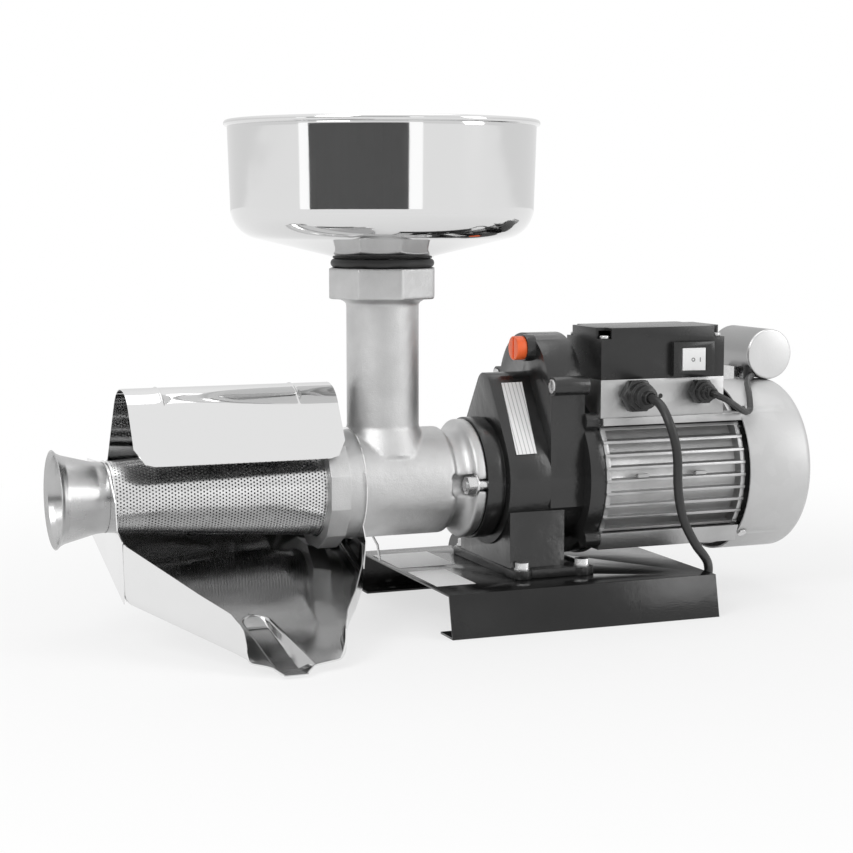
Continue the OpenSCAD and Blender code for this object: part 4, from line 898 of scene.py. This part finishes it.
tray_steel.set(Base_Color=tray_steel.mix(worn, tray_steel.mix(tray_steel.noise(18, 4), 0.74, 0.84),
                                         tray_steel.mix(tray_steel.noise(30, 4), 0.4, 0.5)))
tray_steel.bump(tray_steel.noise(16, 2), 0.0018, 0.3)
tray_steel.bump(tray_steel.noise(900, 2, tray_steel.stretched(1, 0.05, 0.05)), 0.00001)
tray_solid = thickened(tray_mesh, tray_sheet * mm, 0)
# The upper face has a darker tone than the outer one, set to match how it looks in the photograph
# That darker tone is painted reflection of the shaded parts above it; the sheet is the same steel on both
# faces
half_way = len(tray_solid.vertices) // 2
floor_faces = [face for face in tray_solid.polygons if face.normal.z > 0.7]
first_is_upper = sum(1 if face.vertices[0] < half_way else -1 for face in floor_faces) > 0
painted_reflection_layer = tray_solid.attributes.new("worn", "FLOAT", "POINT")
for vertex in range(len(tray_solid.vertices)):
    painted_reflection_layer.data[vertex].value = 1.0 if (vertex < half_way) == first_is_upper else 0.0
new_piece("tray_pan", tray_solid, "machine", tray_steel, ["drip_tray"], 50)
paint(tray_steel, "tray_ends")

# Splash guard
# Arched sheet over the cone, rolled round the hinge wire at the rear, with two pressed beads.
guard_low, guard_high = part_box("splash_guard")
guard_x0, guard_x1 = guard_low[0] / mm, guard_high[0] / mm
crown_r, crown_h, leg_angle = 28, 79, math.radians(30.6)
hinge_y, hinge_h, hinge_r = 52.6, 19, 1.05
guard_sheet, corner_cut, bead_rise = 0.8, 14, 0.7
front_leg = 44.6
middle = (0, axle + crown_h - crown_r)
rear_leg = hinge_y * math.sin(leg_angle) + (middle[1] - axle - hinge_h) * math.cos(leg_angle)
arch = []
for k in range(13):
    t = 1 - k / 12
    arch.append((-crown_r * math.cos(leg_angle) - t * front_leg * math.sin(leg_angle),
                 middle[1] + crown_r * math.sin(leg_angle) - t * front_leg * math.cos(leg_angle), 0))
for k in range(1, 48):
    a = math.pi - leg_angle - (math.pi - 2 * leg_angle) * k / 48
    arch.append((crown_r * math.cos(a), middle[1] + crown_r * math.sin(a), 1))
for k in range(13):
    t = k / 12
    arch.append((crown_r * math.cos(leg_angle) + t * rear_leg * math.sin(leg_angle),
                 middle[1] + crown_r * math.sin(leg_angle) - t * rear_leg * math.cos(leg_angle), 0))
curl = math.atan2(arch[-1][1] - axle - hinge_h, arch[-1][0] - hinge_y)
for k in range(1, 21):
    a = curl - math.radians(300) * k / 20
    arch.append((hinge_y + (hinge_r + guard_sheet) * math.cos(a), axle + hinge_h
                + (hinge_r + guard_sheet) * math.sin(a), 0))
bead_x = (guard_x0 + 26, guard_x1 - 30)
guard_x = sorted({guard_x0, guard_x1, *[guard_x0 + (guard_x1 - guard_x0) * k / 24 for k in range(1, 24)],
                  *[x + d for x in bead_x for d in (-1.6, -1.1, -0.6, 0, 0.6, 1.1, 1.6)]})
guard_verts = []
for x in guard_x:
    for j, (y, z, crown) in enumerate(arch):
        swell = max(math.exp(-((x - b) / 0.9) ** 2) for b in bead_x) * bead_rise
        swell *= crown * ease((47.5 - abs(j - 36) * 2) / 12)
        lift = 1 + swell / crown_r
        # The front corners are round: the rows of the front leg close up towards the ends
        end = min(x - guard_x0, guard_x1 - x)
        y, z = y * lift, middle[1] + (z - middle[1]) * lift
        if j <= 12 and end < corner_cut:
            rise = corner_cut - math.sqrt(corner_cut ** 2 - (corner_cut - end) ** 2)
            share = (1 - j / 12) * rise
            y, z = y + share * math.sin(leg_angle), z + share * math.cos(leg_angle)
        guard_verts.append((x * mm, y * mm, z * mm))
width = len(arch)
guard_faces = [(i * width + k, i * width + k + 1, (i + 1) * width + k + 1, (i + 1) * width + k)
               for i in range(len(guard_x) - 1) for k in range(width - 1)]
guard_mesh = bpy.data.meshes.new("guard_sheet")
guard_mesh.from_pydata(guard_verts, [], [face[::-1] for face in guard_faces])
new_piece("guard_sheet", thickened(guard_mesh, guard_sheet * mm, -1), "guard", mirror,
          ["splash_guard"], 60)
paint(zinc, "hinge_wire")

# Floor, world and lamps
# A pale floor that runs out of sight, a white surround, a dark card with two lit strips that only
# the polished metal mirrors, and three large soft lamps.
def stage_mesh(name, verts, faces, finish):
    mesh = bpy.data.meshes.new(name)
    mesh.from_pydata(verts, [], faces)
    mesh.materials.append(finish.material)
    piece = bpy.data.objects.new(name, mesh)
    bpy.context.collection.objects.link(piece)
    return piece


def glowing(finish, share, strength):
    """Lets a share of a finish glow white, so that it isn't left to the lamps alone."""
    glow = finish.node("ShaderNodeEmission", {}, {"Color": 1.0, "Strength": strength})
    plain = Wire(finish.tree, finish.shader.outputs[0])
    blend = finish.node("ShaderNodeMixShader", {}, {0: share, 1: plain, 2: glow})
    finish.tree.links.new(blend.socket, finish.tree.nodes["Material Output"].inputs["Surface"])


floor_white = Finish("floor_white", 0.82, 0.9)
from_eye = floor_white.node("ShaderNodeLightPath", {}, {}, "Is Camera Ray")
from_metal = floor_white.node("ShaderNodeLightPath", {}, {}, "Is Glossy Ray")
from_glass = floor_white.node("ShaderNodeLightPath", {}, {}, "Is Transmission Ray")
floor_x = floor_white.node("ShaderNodeSeparateXYZ", {}, {"Vector": floor_white.place}, "X")
floor_y = floor_white.node("ShaderNodeSeparateXYZ", {}, {"Vector": floor_white.place}, "Y")
away = floor_x.math("SQRT", floor_x * floor_x + floor_y * floor_y)
fade = floor_white.node("ShaderNodeMapRange", {"interpolation_type": "SMOOTHSTEP"},
                        {"Value": away, "From Min": 0.2, "From Max": 0.85, "To Min": 0.66, "To Max": 1.0})
glowing(floor_white, (from_eye + from_metal + from_glass) * fade, 1.0)
reach = 12
floor = stage_mesh("floor", [(-reach, -reach, 0), (reach, -reach, 0), (reach, reach, 0),
                   (-reach, reach, 0)], [(0, 1, 2, 3)], floor_white)
floor.location.z = -0.0002

toward = Vector((eye.x - hopper_x * mm, eye.y, 0)).normalized()
aside = Vector((-toward.y, toward.x, 0))
card_away = 2.7


def curved_card(name, start, end, low, high, finish):
    """An upright card bent round the hopper, from one angle to another off the way to the front."""
    verts, steps = [], 12
    for k in range(steps + 1):
        a = math.radians(start + (end - start) * k / steps)
        point = Vector((hopper_x * mm, 0, 0)) + card_away * (math.cos(a) * toward + math.sin(a) * aside)
        verts += [(point.x, point.y, low), (point.x, point.y, high)]
    faces = [(2 * k, 2 * k + 1, 2 * k + 3, 2 * k + 2) for k in range(steps)]
    card = stage_mesh(name, verts, faces, finish)
    card.visible_camera = False
    card.visible_diffuse = False
    card.visible_shadow = False
    card.visible_transmission = False


card_black = Finish("card_black", 0.105, 1.0)
strip_white = Finish("strip_white", 0.8, 1.0)
glowing(strip_white, 1.0, 1.35)
curved_card("dark_card", -54, 19, 0, 0.56, card_black)
curved_card("left_strip", -62, -54, 0.02, 0.8, strip_white)
curved_card("right_strip", 19, 29, 0.02, 0.8, strip_white)

bpy.context.scene.view_settings.view_transform = "Standard"
world = bpy.data.worlds.new("studio")
bpy.context.scene.world = world
world.use_nodes = True
sky = world.node_tree
background = sky.nodes["Background"]
background.inputs["Color"].default_value = grey(1.0)
path_node = sky.nodes.new("ShaderNodeLightPath")
from_camera = Wire(sky, path_node.outputs["Is Camera Ray"])
from_gloss = Wire(sky, path_node.outputs["Is Glossy Ray"])
toward_sky = add_node(sky, "ShaderNodeTexCoord", {}, {}, "Generated")
height = add_node(sky, "ShaderNodeSeparateXYZ", {}, {"Vector": toward_sky}, "Z")
# The room is a little darker low down than overhead
gloss_level = add_node(sky, "ShaderNodeMapRange", {"interpolation_type": "SMOOTHSTEP"},
                       {"Value": height, "From Min": 0.1, "From Max": 0.85, "To Min": 0.84, "To Max": 1.06})
fill = 0.62
strength = from_camera + from_gloss * gloss_level + (1 - from_camera) * (1 - from_gloss) * fill
sky.links.new(strength.socket, background.inputs["Strength"])


def soft_lamp(name, place, aim, size, watts):
    data = bpy.data.lights.new(name, "AREA")
    data.shape = "RECTANGLE"
    data.size, data.size_y = size
    data.energy = watts
    lamp = bpy.data.objects.new(name, data)
    lamp.location = place
    lamp.rotation_euler = (Vector(aim) - Vector(place)).to_track_quat("-Z", "Y").to_euler()
    bpy.context.collection.objects.link(lamp)


soft_lamp("key_lamp", (-2.2, -1.4, 1.9), (-0.05, 0, 0.18), (1.3, 1.6), 34)
soft_lamp("side_lamp", (2.1, -1.9, 1.1), (0.05, 0, 0.15), (0.9, 1.6), 17)
soft_lamp("top_lamp", (0.1, 0.3, 2.6), (0, 0, 0.2), (1.6, 1.6), 10)
